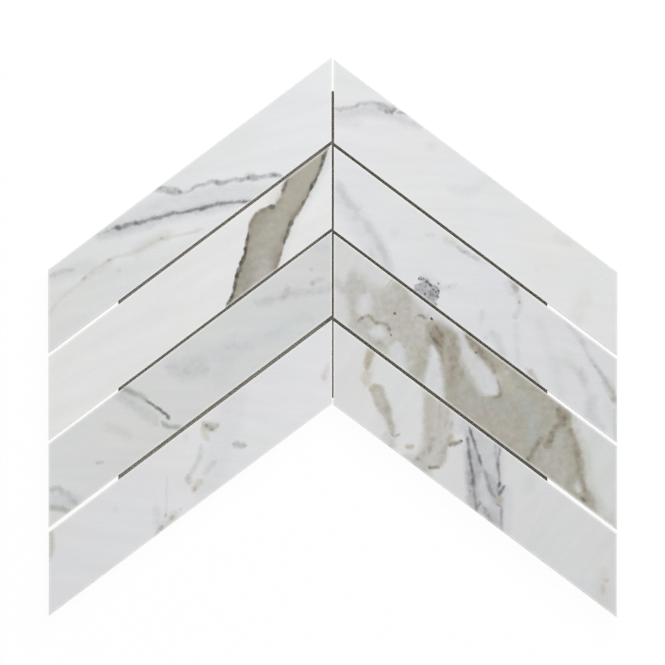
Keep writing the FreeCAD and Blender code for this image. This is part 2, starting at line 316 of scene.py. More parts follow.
veins["left", 2] = [
    ("sand", 0.22, 2.5, [(25, -2, 0.5), (29, 4.5, 2), (33, 6, 1.6), (38, 4, 0)]),
    ("mist", 0.3, 2.5, [(-1, 2, 0.5), (4, 8, 1.6), (9, 16, 1.6), (15, 23, 1.6), (21, 29, 1.4),
     (25, 38, 1.2), (28, 46, 1)]),
    ("khaki", 1, 0.9, [(2, -2), (2.5, 0), (3.5, 1.5), (4.5, 4), (5.5, 7), (6.5, 9.5), (8, 12),
     (10.5, 14), (12, 16), (13.5, 18.5), (15.5, 20.5), (18, 23), (20, 24.5), (22.3, 26.5), (23.5, 29),
     (24.5, 32), (25.5, 34.5), (27, 38), (28.5, 41), (30.5, 45), (31.5, 48)], [(23.5, -2), (24, 0),
     (25, 2), (26, 4.5), (27.2, 7.5), (29.5, 9.2), (31, 10), (32.5, 8.9), (34, 7.8), (36, 7), (38, 6.6),
     (40, 6.7), (42, 7.4), (43.5, 8.9), (44.5, 11), (45, 13.5), (45.3, 16), (45.8, 19), (46.3, 22),
     (47, 25), (48, 27.5), (49.3, 29.5), (50.5, 31.5), (51.5, 34), (52, 36.5), (52.5, 38.7), (53.5, 41),
     (54.7, 43.2), (56, 46), (57, 48)]),
    ("sand", 0.35, 5, [(4, -3, 3), (11, 4, 5), (18, 10, 5), (25, 15, 3), (32, 16, 0)]),
    ("greige", 0.5, 4, [(20, 18, 0), (28, 20, 4), (34, 25, 5), (40, 30, 4), (44, 36, 0)]),
    ("fog", 0.55, 3, [(33, 31, 0), (36, 37, 2.6), (38, 42, 3), (40, 48, 3)]),
    ("clay", 0.3, 1.6, [(4.5, 2.9, 0), (5, 4, 0.2), (9, 12, 0.9), (15, 19, 1), (22, 25, 1),
     (27, 34, 0.9), (31, 44, 0.8), (32, 48, 0.7)]),
    ("clay", 0.28, 1.8, [(25.3, 3.9, 0), (26, 5, 0.4), (30, 11, 1.2), (36, 9.5, 1.2), (42, 11, 1.2),
     (44, 17, 1), (45.5, 25, 1), (49, 33, 1), (52, 42, 1), (54, 48, 0.8)]),
    ("umber", 0.9, 0.7, [(2, -1.5, 0.55), (3, 1, 0.77), (4.3, 4, 0.95), (5.5, 7, 0.84),
     (6.5, 9.5, 0.55), (8, 11.8, 0.5), (10.5, 14.2, 0.95), (12, 16, 0.54), (13.5, 18.5, 0.14),
     (15.3, 20.3, 0.67), (18, 23, 0)]),
    ("clay", 0.8, 1.1, [(14, 19, 0), (17, 22, 0.78), (20.5, 24.3, 0.91), (23, 27, 0)]),
    ("umber", 0.9, 0.7, [(20.2, 24.6, 0), (21.6, 26, 1.2), (22.8, 27, 0.68), (23.5, 29, 0.75),
     (24.3, 32, 0.68), (25.3, 34.5, 0.52), (26.3, 37, 0)]),
    ("clay", 0.85, 0.9, [(25, 34, 0), (27, 38, 0.7), (28.5, 41, 0.7), (31, 46.5, 0.7)]),
    ("umber", 0.75, 1, [(23.7, -1, 0.77), (25, 2.3, 0.99), (26.3, 5, 0.88), (27.4, 7.6, 0)]),
    ("umber", 1, 1, [(29.6, 9.6, 0), (31.3, 10, 1.2), (33, 9, 1.08), (35.5, 7.6, 0)]),
    ("clay", 0.85, 1.1, [(31.9, 9.2, 0), (33, 8.8, 0.39), (37, 7.2, 0.91), (41, 7.4, 0.91),
     (43, 8.9, 0.78), (44.4, 11.5, 0.39), (45, 12.6, 0)]),
    ("umber", 0.95, 0.7, [(44.3, 10.5, 0), (45.2, 15, 0.49), (46, 20, 0.79), (46.4, 23, 0.61),
     (47.2, 26, 1.15), (48.3, 28.3, 0.61), (49.3, 30, 1.15), (50.6, 32, 0.85), (51.4, 34.5, 0.9),
     (51.9, 37, 0.85), (52.6, 39.3, 0.61), (53.6, 41.4, 0.73), (54.8, 43.5, 1.03), (56.3, 46.5, 0.97)]),
    ("soot", 0.9, 0.6, [(46.1, 19, 0), (46.6, 21, 0.7), (46.9, 23, 0)]),
    ("soot", 0.9, 0.6, [(47.6, 25, 0), (48.6, 27.2, 0.88), (49.4, 29.5, 0)]),
    ("soot", 0.9, 0.6, [(50.1, 30.6, 0), (50.9, 32.5, 0.72), (51.4, 34.5, 0)]),
    ("soot", 0.75, 0.6, [(9.5, 13.2, 0), (11, 14.9, 0.6), (12.2, 16.5, 0)]),
    ("soot", 0.75, 0.6, [(4.6, 5, 0), (5.3, 6.8, 0.5), (6, 8.7, 0)]),
    ("soot", 0.4, 0.6, [(21, 25.4, 0), (21.8, 26.4, 0.5), (22.6, 27.4, 0)]),
    ("soot", 0.75, 0.6, [(52.6, 39, 0), (53.6, 41.2, 0.5), (54.6, 43, 0)]),
]
veins["left", 3] = [
    ("mist", 0.45, 5, [(46, 12, 0), (55, 22, 4), (60, 32, 4), (64, 42, 0)]),
    ("mist", 0.8, 2, [(-1, 11.3, 1), (2, 8.5, 1.5), (5, 5.6, 1.6), (8, 3, 1.5), (11, 0.3, 1.2),
     (14, -2, 1)]),
    ("ash", 0.5, 1.3, [(9.3, 13.7, 0), (11, 12.5, 0.7), (12.8, 11.3, 0)]),
    ("moss", 0.55, 1.4, [(2, 23.2, 0), (5, 21.8, 0.7), (8, 20.5, 0.9), (11, 19.3, 0.7),
     (13.5, 18.3, 0)]),
    ("ash", 0.4, 2.4, [(32, 11.8, 0), (27, 14.8, 1.32), (22, 17, 1.32), (16, 21, 1.32), (10, 25, 1.32),
     (5, 27.7, 1.2), (-1, 30.6, 1.2)]),
    ("ash", 0.4, 1.6, [(23.5, 17.6, 0), (26, 15.6, 1.2), (28.5, 13.8, 0)]),
    ("ash", 0.18, 1.4, [(24, 8.5, 0), (25, 11.2, 0.6), (26.3, 14.5, 0)]),
    ("mist", 0.6, 3, [(20, 29, 0), (17, 32, 1.2), (14, 35.5, 1.3), (11, 39, 1.2), (7.5, 42.5, 0)]),
    ("mist", 0.6, 3.6, [(38.5, 28.6, 0), (34, 30.8, 1.4), (30, 32.5, 1.3), (25, 35, 0)]),
    ("moss", 0.5, 3, [(44.5, 5, 0), (40, 8.5, 1.1), (36, 11.3, 1.3), (32, 13.5, 0.9), (28.5, 15, 0)]),
    ("mist", 0.7, 4, [(60, 17, 0), (56, 20.5, 1.5), (52, 23.3, 1.8), (48.5, 27, 1.8), (44, 29.3, 1.4),
     (39, 30.7, 0)]),
    ("ash", 0.42, 6, [(63, 27.3, 0), (67, 23.5, 1.5), (70, 20, 3.09), (74, 17.5, 3.57),
     (78, 15.7, 3.74), (82, 13, 1.9), (85, 9.2, 1.2), (88, 6.3, 0.8), (92.5, 2.5, 0)]),
    ("slate", 0.15, 3, [(75, 17.5, 0), (78, 15.9, 1), (81, 14, 0)]),
    ("mist", 0.35, 1.6, [(61, 21.5, 0), (62.5, 24, 0.8), (64.3, 27, 0)]),
    ("mist", 0.35, 1.5, [(40, 41.8, 0), (42, 41, 0.8), (44, 40.2, 0)]),
    ("ash", 0.36, 3, [(115, 1, 2), (110, 8, 2.3), (105.5, 14, 2.5), (102, 19, 2.5), (98, 25, 2.5),
     (94.5, 31, 2.2), (91.5, 37.5, 0)]),
    ("sage", 0.75, 1.6, [(114.3, -2, 1.6), (110.5, 2, 1.6), (108, 5, 1.5), (105.7, 7.7, 1.4),
     (103.5, 10, 1.3), (101.5, 13, 1.1), (99.5, 16, 0.8), (96.5, 20.3, 0)]),
    ("stone", 0.45, 1.4, [(114, -2, 0.6), (110.5, 2, 0.7), (108, 5, 0.7), (105, 8.6, 0.6),
     (102.5, 12, 0)]),
    ("shale", 0.95, 0.9, [(103, 11, 0), (100, 15.5, 0.07), (98.5, 17.5, 0.52), (97, 19.5, 0.59),
     (95, 22.5, 0.52), (93.5, 24.5, 0.77), (92, 26.5, 0.77), (90.5, 29, 0.64), (89, 31, 0.73),
     (88, 33, 0.91), (87.2, 34.6, 0.82), (86.2, 36.6, 0)]),
    ("slate", 0.3, 0.8, [(88.6, 32, 0), (87.6, 34, 0.7), (86.8, 35.6, 0)]),
    ("sage", 1, 1.5, [(92, 31, 0), (90.5, 35, 0.88), (88.5, 38, 1.1), (87, 39.5, 0.99),
     (84.5, 41.5, 0.99), (83, 43, 1.1), (80, 46.5, 0.99)]),
    ("ash", 0.3, 1, [(90, 35.5, 0), (88.5, 38, 0.6), (86, 40.3, 0)]),
    ("ash", 0.55, 1, [(121, 32.5, 0), (123, 31.6, 0.6), (126, 30, 0.6), (128, 29, 0)]),
    ("rose", 0.2, 3, [(124.5, 10, 0), (120, 14.5, 1.5), (117, 18, 1.6), (113, 22.5, 1.6),
     (109, 28, 1.5), (104, 33, 0)]),
    ("mist", 0.75, 4, [(154, 29, 3), (146, 35, 4.5), (139, 42, 4.5), (134, 50, 4)]),
    ("sage", 0.7, 1.8, [(153.5, 24.3, 1.1), (149, 26.5, 1.1), (146, 28.5, 1), (142.5, 31, 0)]),
    ("ash", 0.5, 1.9, [(148.5, 28, 0), (145, 31, 1.1), (142, 34.5, 1.3), (140.3, 38, 1.3),
     (138.5, 41.5, 1.2), (136, 46.5, 1.1)]),
    ("sage", 0.9, 1.7, [(153.5, 32.7, 1.1), (150, 36, 1.1), (147, 38.5, 1.1), (144, 41, 1.2),
     (141.5, 44, 1.2), (139, 47.3, 1.1)]),
    ("stone", 0.3, 1.7, [(21, 12.5, 0), (23.5, 13.8, 1), (25.5, 14.8, 1.2), (28, 14.6, 0)]),
    ("stone", 0.32, 1.4, [(8, 21.7, 0), (10.3, 20.3, 1), (12.8, 19.2, 0)]),
    ("mist", 0.5, 5, [(91.5, 6.6, 0), (84.1, 10.7, 2.5), (76.7, 14, 3), (64.9, 17.7, 2.4),
     (50.1, 24.8, 2.2), (33.9, 30.2, 2), (19.1, 32.8, 1.8), (10.2, 36.5, 0)]),
    ("fog", 0.3, 3.4, [(42.7, 6.2, 0), (33.9, 10.7, 1.6), (25, 15.8, 2), (16.1, 20.7, 1.4),
     (7.2, 25.9, 0)]),
]
veins["left", 4] = [
    ("mist", 0.3, 6, [(50, -3, 4), (56, 12, 6), (62, 27, 6), (66, 48, 5)]),
    ("sand", 0.45, 2.4, [(58.5, 13, 0), (63, 10.5, 2.4), (68, 6.5, 2.2), (70.5, 1.5, 0)]),
    ("stone", 0.48, 2, [(60, 12.3, 0), (62, 10.7, 1.4), (64, 9.6, 1.7), (66, 8.1, 1.7), (68, 6.1, 1.6),
     (69.3, 4.2, 1.2), (70, 1.6, 0)]),
    ("stone", 0.5, 0.8, [(62.6, 11.6, 0), (64.5, 10.8, 0.8), (66.3, 10.1, 0)]),
    ("clay", 0.6, 0.8, [(66, 7.7, 0), (67.2, 6.4, 0.8), (68.5, 5, 0)]),
    ("sand", 0.75, 2, [(69.7, 4.6, 0), (69.4, 5.8, 0.3), (68.6, 9.5, 1.1), (68.1, 11.5, 1.2),
     (67.3, 13.7, 1.1), (65.9, 16.8, 0)]),
    ("mist", 0.9, 1.5, [(69.2, 13, 0), (70.2, 16, 0.9), (70.6, 18.5, 1.1), (71.5, 21.3, 1.1),
     (73.2, 23.5, 1), (75, 25.2, 1.1), (77.5, 28, 0)]),
    ("moss", 0.79, 2.1, [(78, 23.2, 0), (77.4, 26, 0.9), (77, 28, 1.1), (76.5, 30.5, 1),
     (75.8, 33.5, 0)]),
    ("sand", 0.75, 2, [(67.8, 33, 0), (70.5, 33.6, 0.9), (72.5, 34.4, 1.1), (74.3, 35.6, 1.1),
     (76.5, 38, 0)]),
    ("stone", 0.4, 0.9, [(72.2, 34.8, 0), (73.6, 35.5, 0.6), (75.2, 36.4, 0)]),
    ("mist", 0.35, 1.8, [(60.5, 30.2, 0), (63, 29.5, 1), (65.5, 28.8, 0)]),
    ("sage", 0.8, 2, [(55, 25.5, 0), (52.5, 27.5, 0.9), (50.5, 29.2, 1.2), (49, 31, 1.1), (47, 32.6, 1),
     (43.5, 35, 0)]),
    ("sand", 0.55, 2, [(1.5, 29.8, 0), (4, 28.5, 1), (6.5, 27.2, 0)]),
    ("ash", 0.22, 1, [(88.3, 14, 0), (88.5, 19, 0.35), (88.7, 25, 0.4), (88.9, 30, 0.4),
     (89.2, 35, 0.45), (89.6, 40, 0.3), (89.7, 41.2, 0)]),
    ("mist", 0.45, 2.5, [(93.5, 24, 0), (94, 32, 1.6), (93, 40, 1.8), (92, 48, 1.5)]),
    ("sand", 0.62, 2.8, [(81.5, 39, 0), (85, 41.3, 1.5), (88.5, 43.2, 1.2), (91, 45.5, 0.6)]),
    ("ash", 0.55, 1.2, [(84.3, 40.3, 0), (86, 41.5, 1), (88, 42.7, 0)]),
    ("ash", 0.3, 1.1, [(79.8, 41.6, 0), (81.2, 41, 0.7), (82.6, 40.4, 0)]),
    ("stone", 0.42, 1.3, [(89.2, 42, 0), (91.5, 43.5, 1.1), (94, 46, 1)]),
    ("ash", 0.45, 0.9, [(88.5, 36.4, 0), (89.5, 38, 0.6), (90.4, 39.6, 0)]),
    ("mist", 0.3, 2.5, [(113, 16.5, 0), (116, 15, 1.3), (119, 13.8, 0)]),
    ("mist", 0.35, 1.6, [(77, 0, 0), (78.5, 4, 1), (80.3, 8, 0)]),
    ("olive", 0.6, 2.2, [(152.3, -3, 1.3), (151.2, 3, 1.6), (151.2, 8, 1.5), (151.6, 13, 0.9),
     (152.3, 21, 0)]),
    ("greige", 0.3, 1.6, [(71, 33.4, 0), (67.5, 31.2, 0.9), (63.5, 29.4, 1), (59.5, 28.4, 0)]),
    ("sand", 0.5, 2, [(-0.3, 20.8, 0), (2.6, 24.1, 1), (4.1, 27.1, 1), (5.4, 31.3, 0)]),
]
veins["right", 1] = [
    ("mist", 0.65, 3, [(-1, 29.5, 0.8), (5, 26, 1.8), (10, 21.5, 2.2), (15, 16.5, 2.4), (20, 12.5, 2.5),
     (26, 9.3, 2.4), (32, 6.8, 1.8), (38, 4.5, 1.3), (46, 1.8, 0.6), (48, 1.1, 0)]),
    ("mist", 0.3, 3.5, [(-1, 33.5, 0.8), (6, 29.5, 1.4), (12, 25.5, 1.4), (20, 20, 0)]),
    ("ash", 0.62, 1.2, [(-1, 26.8, 0.54), (1.5, 25.2, 0.81), (3.5, 24.2, 1.08), (5, 22.6, 1.08),
     (7, 21, 0.81), (9, 19.3, 0.94), (10.5, 17.6, 0.68), (12, 16, 1.08), (13.5, 14, 1.08),
     (15, 12.4, 0.68), (17, 11, 0.74), (19, 9.3, 1.01), (20.3, 8.2, 1.08), (22, 7, 0.81),
     (24, 5.9, 0.81), (26, 5, 0.81), (28, 4.3, 0.68), (31, 3, 0)]),
    ("slate", 0.15, 0.8, [(11.2, 17, 0), (12.4, 15.6, 0.5), (14, 13.4, 0.4), (15.3, 12, 0)]),
    ("ash", 0.55, 2.2, [(18, 11.5, 0), (24, 7.5, 1.2), (28, 5.6, 1.92), (31, 4.1, 1.92),
     (33, 2.4, 1.08), (35.5, 0.6, 0)]),
    ("slate", 0.35, 1.2, [(24.3, 8.4, 0), (27.5, 7, 0.75), (29.5, 5.9, 1.12), (31.3, 5, 1.25),
     (32.2, 3.8, 0.62), (33, 2.8, 0)]),
    ("flint", 0.35, 0.8, [(29.2, 6, 0), (31.1, 5.1, 0.65), (32.3, 4.2, 0)]),
    ("slate", 0.45, 1, [(30.5, 4, 0), (32.5, 2.7, 0.72), (34.8, 1, 0)]),
    ("ash", 0.7, 0.9, [(32.6, 4.4, 0), (34.3, 3, 0.5), (35.6, 2.2, 0.85), (37.5, 1, 0.3)]),
    ("sand", 0.6, 1.1, [(36.3, 1.8, 0), (38.5, 0.6, 0.8), (41, -0.8, 0.8)]),
    ("mist", 0.3, 4, [(55, 27, 0), (64, 22.5, 1.4), (70, 18.5, 1.8), (75, 13, 2), (78.5, 8, 1.9),
     (83, 3, 1.4), (87, -1, 1)]),
    ("mist", 0.3, 3, [(46, 14, 0), (52, 8, 1.6), (58, 3, 0)]),
    ("mist", 0.3, 3.5, [(114, 9.5, 0), (120, 6, 1.8), (125, 4.5, 1.6), (131, 3, 0)]),
    ("sand", 0.18, 4, [(137, 18, 0), (135, 26, 3), (132, 35, 3.4), (128, 47, 3)]),
    ("mist", 0.25, 2.5, [(106, 33, 0), (109, 31, 1), (112, 28.5, 0)]),
    ("slate", 0.25, 0.8, [(25.5, 9.6, 0), (28, 8, 0.5), (30.8, 6.9, 0)]),
    ("slate", 0.4, 0.8, [(33, 3.2, 0), (35.6, 1.6, 0.5), (37.2, 0.8, 0.5), (39.5, -0.4, 0.3),
     (40.5, -1, 0.2)]),
]
veins["right", 2] = [
    ("mist", 0.4, 5, [(-1, 21, 2), (6, 26, 4), (14, 31, 5), (20, 37, 5), (24, 47, 5)]),
    ("ash", 0.35, 2.4, [(1, 14.5, 0), (3, 18.5, 1.4), (5, 22, 1.5), (7.5, 24.3, 1.4), (10.5, 25, 1.4),
     (13, 24, 1.3), (16, 22.3, 0)]),
    ("moss", 0.28, 3.1, [(14, 21.5, 0), (12.5, 25.5, 1.4), (11.5, 29, 1.5), (12.7, 34, 0)]),
    ("mist", 0.8, 2.6, [(12, 25.3, 0), (17, 28, 1.5), (20, 30, 1.8), (23, 32.5, 2), (26, 36, 2.2),
     (28, 40, 2.2), (30, 47, 2)]),
    ("ash", 0.25, 2.2, [(20, 29.5, 0), (23.5, 33, 1.2), (26.3, 37.5, 1.3), (27.5, 42, 0)]),
    ("mist", 0.6, 1.9, [(17.5, 38.3, 0), (20.5, 42, 1.2), (22.3, 47, 1.4)]),
    ("mist", 0.3, 3, [(28, 24.5, 0), (33, 21, 1.8), (38, 17.8, 0)]),
    ("ash", 0.25, 1.5, [(47, 13, 0), (50, 10, 0.7), (53, 7.5, 0.7), (57, 4.3, 0)]),
    ("fog", 0.4, 2.6, [(56, 7.5, 0), (61, 4.5, 1.5), (65, 3.6, 1.4), (69, 3.2, 0)]),
    ("ash", 0.6, 1.6, [(63.5, 5.3, 0), (67, 4.4, 0.8), (70, 3.9, 1.1), (73, 3.2, 0.9), (77, 2.2, 0.8),
     (81, 1.2, 0)]),
    ("slate", 0.25, 1, [(68.5, 4.3, 0), (70.5, 4, 0.6), (72.5, 3.2, 0)]),
    ("fog", 0.25, 1.8, [(44.5, 36.2, 0), (47, 33.6, 1), (51, 32.5, 1.5), (54.5, 31.8, 1.6),
     (57.5, 32.8, 1), (59.5, 34.5, 0)]),
    ("steel", 0.95, 1.1, [(48.7, 48, 5.2), (49.4, 43, 5.5), (50.3, 39, 5.7), (51.1, 36.4, 5.3),
     (51.5, 35.2, 3.4), (51.8, 34.2, 0)]),
    ("steel", 0.9, 0.9, [(44.6, 38, 0), (46.3, 36, 1), (48.5, 35.3, 1), (51, 35.2, 1),
     (52.4, 35.1, 0)]),
    ("steel", 0.5, 1.6, [(51.5, 37, 0), (53, 40.5, 1.4), (52.5, 44, 2), (52, 48, 2)]),
    ("mist", 0.5, 1.4, [(50.3, 35.8, 0), (51, 37.6, 1), (51.5, 39.6, 0)]),
    ("soot", 0.85, 0.6, [(48.6, 36.3, 0), (49.8, 35.3, 0.6), (51, 34.9, 0)]),
    ("soot", 0.9, 0.6, [(50.7, 34.9, 0), (52, 35.6, 0.6), (53.2, 36.2, 0)]),
    ("soot", 0.85, 0.6, [(55.4, 36.2, 0), (56.3, 35.1, 0.65), (57, 34.1, 0)]),
    ("flint", 0.8, 0.6, [(45, 37.4, 0), (46.1, 36.4, 0.5), (47, 35.5, 0)]),
    ("flint", 0.75, 0.6, [(47.4, 35.7, 0), (48.1, 34.9, 0.4), (48.7, 34.3, 0)]),
    ("soot", 0.7, 0.6, [(54, 37.6, 0), (54.9, 36.8, 0.5), (55.8, 35.6, 0)]),
    ("flint", 0.75, 0.7, [(54.6, 38.8, 0), (55.7, 37.6, 0.5), (56.6, 36.2, 0)]),
    ("flint", 0.6, 0.7, [(52.7, 36.1, 0), (53.6, 37, 0.5), (54.4, 37.8, 0)]),
    ("soot", 0.8, 0.6, [(48, 43.6, 0), (48.9, 42.6, 0.65), (49.6, 41.6, 0)]),
    ("flint", 0.65, 0.8, [(43.6, 46, 0.4), (44, 42, 0.5), (44.6, 39, 0)]),
    ("flint", 0.6, 0.9, [(54, 46.5, 0.6), (54.9, 43.3, 0.6), (55.8, 40.5, 0)]),
    ("slate", 0.6, 0.9, [(49.2, 40.4, 0), (51, 39.8, 0.4), (53.5, 40.2, 0.5), (55.4, 39, 0)]),
    ("slate", 0.75, 0.7, [(55, 32.8, 0), (56.2, 31.4, 0.5), (57, 30.2, 0)]),
    ("sand", 0.35, 1.7, [(56, 34, 0), (60, 30.5, 1), (62.5, 28, 1), (65, 25.5, 0.8), (69, 21.5, 0)]),
    ("ash", 0.5, 0.9, [(61, 29.4, 0), (62, 28.4, 0.5), (63, 27.3, 0)]),
    ("mist", 0.4, 2.2, [(74.5, 4.7, 0), (78, 2.5, 1.2), (82, 0.5, 0.8)]),
    ("mist", 0.6, 2.2, [(97, 10, 0), (95.5, 6.5, 1.4), (93, 4, 1.2), (90.5, 1.5, 0)]),
    ("clay", 0.6, 1.4, [(93, -2, 0.8), (95.5, 0.5, 1.1), (97, 1.8, 1.4), (98.3, 3.2, 1.2),
     (99, 5.6, 0)]),
    ("moss", 0.5, 2.2, [(97.4, 1.9, 0), (97.8, 3, 0.4), (98.9, 6, 1), (99.9, 8.5, 1.1), (100, 11, 0.9),
     (98.8, 14.5, 0.8), (97.7, 18, 0.9), (97.2, 22.5, 0)]),
    ("stone", 0.6, 0.9, [(98.6, 9.8, 0), (99.8, 8.6, 0.8), (101.2, 7.2, 0)]),
    ("mist", 0.5, 2.4, [(97, 19.5, 0), (97.6, 23, 1.2), (98, 26, 1.2), (98.3, 31, 0.6), (98.8, 38, 0.8),
     (99.3, 47, 0.8)]),
    ("sand", 0.4, 1.9, [(80.7, 25.5, 0), (79.5, 29, 1.1), (79.3, 33, 0.9), (81.3, 37, 0)]),
    ("mist", 0.85, 2.4, [(82.5, 34, 0), (85.5, 36.3, 1.4), (88, 38.3, 1.8), (89.5, 41.5, 1.8),
     (90.7, 47, 1.6)]),
    ("mist", 0.6, 1.8, [(79, 44, 0), (81.5, 41.7, 0.9), (83.5, 39.4, 0)]),
    ("moss", 0.76, 1.7, [(102.8, 43.8, 0), (105.3, 40.8, 0.9), (107, 42.3, 1), (109, 44.5, 1.1),
     (110.8, 47, 1)]),
    ("clay", 0.45, 1, [(106.8, 42.6, 0), (108.7, 43.8, 0.7), (110.8, 46.2, 0.6)]),
    ("moss", 0.2, 7, [(115, 36, 0), (121, 27, 3.4), (126, 19, 3), (131, 12, 0)]),
    ("ash", 0.35, 2.2, [(132.3, 16, 0), (132.8, 20, 0.9), (133.5, 23, 1.7), (135, 26.5, 1),
     (136.3, 30, 0)]),
    ("ash", 0.25, 2, [(125, 22.3, 0), (129, 22.8, 0.8), (134, 24, 0)]),
    ("moss", 0.56, 2, [(132.5, 1.8, 0), (133.4, 4.6, 1), (134.4, 7.4, 0)]),
    ("ash", 0.3, 1.6, [(136, 9.3, 0), (139, 11.6, 0.9), (142, 13.6, 0)]),
    ("moss", 0.72, 2.5, [(143.5, 13.6, 0), (146, 16, 1.5), (148, 18.2, 1.8), (150, 20.8, 1.8),
     (153, 24, 1.6)]),
    ("clay", 0.4, 1.6, [(147.5, 22.3, 0), (149.5, 23.6, 0.9), (151.2, 22.3, 0.9), (153.3, 20, 0.8)]),
    ("ash", 0.4, 1.7, [(151.6, 22, 0), (151.3, 30, 0.9), (151.5, 38, 0.9), (151.8, 47, 0.7)]),
    ("moss", 0.4, 3.1, [(141.7, 25, 0), (140, 29, 1.2), (139, 33, 1.4), (138.7, 37, 1.3),
     (140, 41, 1.4), (142.4, 47, 1)]),
    ("mist", 0.9, 2.2, [(135.3, 31, 0), (136.2, 35, 1.2), (137, 38.5, 1.5), (137.5, 42, 1.7),
     (138, 47, 1.8)]),
    ("mist", 0.7, 2.6, [(129.5, 42.3, 0), (136, 42.8, 1.6), (143, 43, 1.6), (148.5, 43.6, 0)]),
    ("flint", 0.6, 0.6, [(45.8, 40, 0), (46.5, 39, 0.35), (47.2, 38, 0)]),
    ("flint", 0.6, 0.6, [(46.8, 42.6, 0), (47.5, 41.6, 0.35), (48.2, 40.6, 0)]),
    ("flint", 0.6, 0.6, [(49.3, 38.6, 0), (50, 37.6, 0.35), (50.7, 36.6, 0)]),
    ("flint", 0.6, 0.6, [(51.3, 40, 0), (52, 39, 0.35), (52.7, 38, 0)]),
    ("flint", 0.6, 0.6, [(52.9, 43, 0), (53.6, 42, 0.35), (54.3, 41, 0)]),
    ("flint", 0.6, 0.6, [(50.1, 44.4, 0), (50.8, 43.4, 0.35), (51.5, 42.4, 0)]),
    ("flint", 0.6, 0.6, [(54.7, 41.6, 0), (55.4, 40.6, 0.35), (56.1, 39.6, 0)]),
    ("flint", 0.6, 0.6, [(44.9, 43.6, 0), (45.6, 42.6, 0.35), (46.3, 41.6, 0)]),
    ("soot", 0.75, 0.5, [(45, 38, 0), (45.6, 37.2, 0.45), (46.2, 36.4, 0)]),
    ("soot", 0.75, 0.5, [(46.4, 36.9, 0), (47, 36.1, 0.45), (47.6, 35.3, 0)]),
    ("soot", 0.75, 0.5, [(50, 36.3, 0), (50.6, 35.5, 0.5), (51.2, 34.7, 0)]),
    ("soot", 0.75, 0.5, [(53, 37.6, 0), (53.6, 36.8, 0.5), (54.2, 36, 0)]),
    ("soot", 0.75, 0.5, [(55.7, 37.2, 0), (56.3, 36.4, 0.5), (56.9, 35.6, 0)]),
    ("flint", 0.75, 0.5, [(55.3, 39.4, 0), (55.9, 38.6, 0.4), (56.5, 37.8, 0)]),
    ("flint", 0.75, 0.5, [(44.3, 41.1, 0), (44.9, 40.3, 0.4), (45.5, 39.5, 0)]),
    ("flint", 0.75, 0.5, [(43.7, 44.4, 0), (44.3, 43.6, 0.45), (44.9, 42.8, 0)]),
    ("flint", 0.75, 0.5, [(48.7, 39.5, 0), (49.3, 38.7, 0.35), (49.9, 37.9, 0)]),
    ("flint", 0.75, 0.5, [(51, 42.4, 0), (51.6, 41.6, 0.4), (52.2, 40.8, 0)]),
    ("flint", 0.75, 0.5, [(46.3, 44.8, 0), (46.9, 44, 0.35), (47.5, 43.2, 0)]),
    ("flint", 0.75, 0.5, [(54.3, 44.4, 0), (54.9, 43.6, 0.5), (55.5, 42.8, 0)]),
    ("flint", 0.75, 0.5, [(51.7, 39, 0), (52.3, 38.2, 0.35), (52.9, 37.4, 0)]),
    ("flint", 0.8, 0.7, [(54.9, 41.2, 0), (55.6, 39, 0.8), (56.3, 37, 0)]),
    ("stone", 0.4, 1.4, [(137, 10.2, 0), (140.5, 12.8, 0.6), (143.5, 14.6, 0.8), (146.5, 16.8, 0.7),
     (149.5, 20, 0.7), (151.5, 24, 0.5), (152.4, 28, 0)]),
    ("ash", 0.3, 1.8, [(123, -1.5, 0.4), (127, 2.2, 0.8), (131, 3.2, 0.9), (133.4, 5, 0.9),
     (136, 8.6, 0.8), (139, 11.8, 0.8), (142, 14.4, 0.7), (145, 17, 0)]),
    ("mist", 0.45, 2.6, [(119, 20, 0), (124.5, 22, 1.4), (129.5, 22.6, 1.7), (133.5, 24, 1.7),
     (136.5, 28, 1.7), (138, 33, 1.5), (140, 38, 1.5), (143, 43, 1.5), (145, 48, 1.4)]),
    ("fog", 0.25, 1.6, [(126.5, 21.4, 0), (130.5, 22.6, 0.9), (133.6, 24, 0.9), (135.2, 27, 0)]),
    ("mist", 0.4, 2.6, [(143, 25, 0), (146.6, 28.2, 1.4), (149, 32.4, 1.5), (152, 36, 1.5),
     (155, 40, 1.5)]),
    ("mist", 0.35, 3, [(106, 7, 0), (110.6, 12.8, 2), (113.3, 18.9, 2.2), (116, 24, 2), (119, 32, 1.8),
     (122, 40, 1.6), (124, 47, 1.6)]),
    ("mist", 0.3, 2.4, [(82, 34, 0), (85, 36.2, 1.6), (88, 39, 1.7), (91, 43, 1.6), (93, 48, 1.5)]),
    ("clay", 0.28, 1.2, [(101.2, 40, 0), (103.5, 41.8, 0.8), (106.2, 43, 0.9), (112, 47.5, 0.9)]),
]
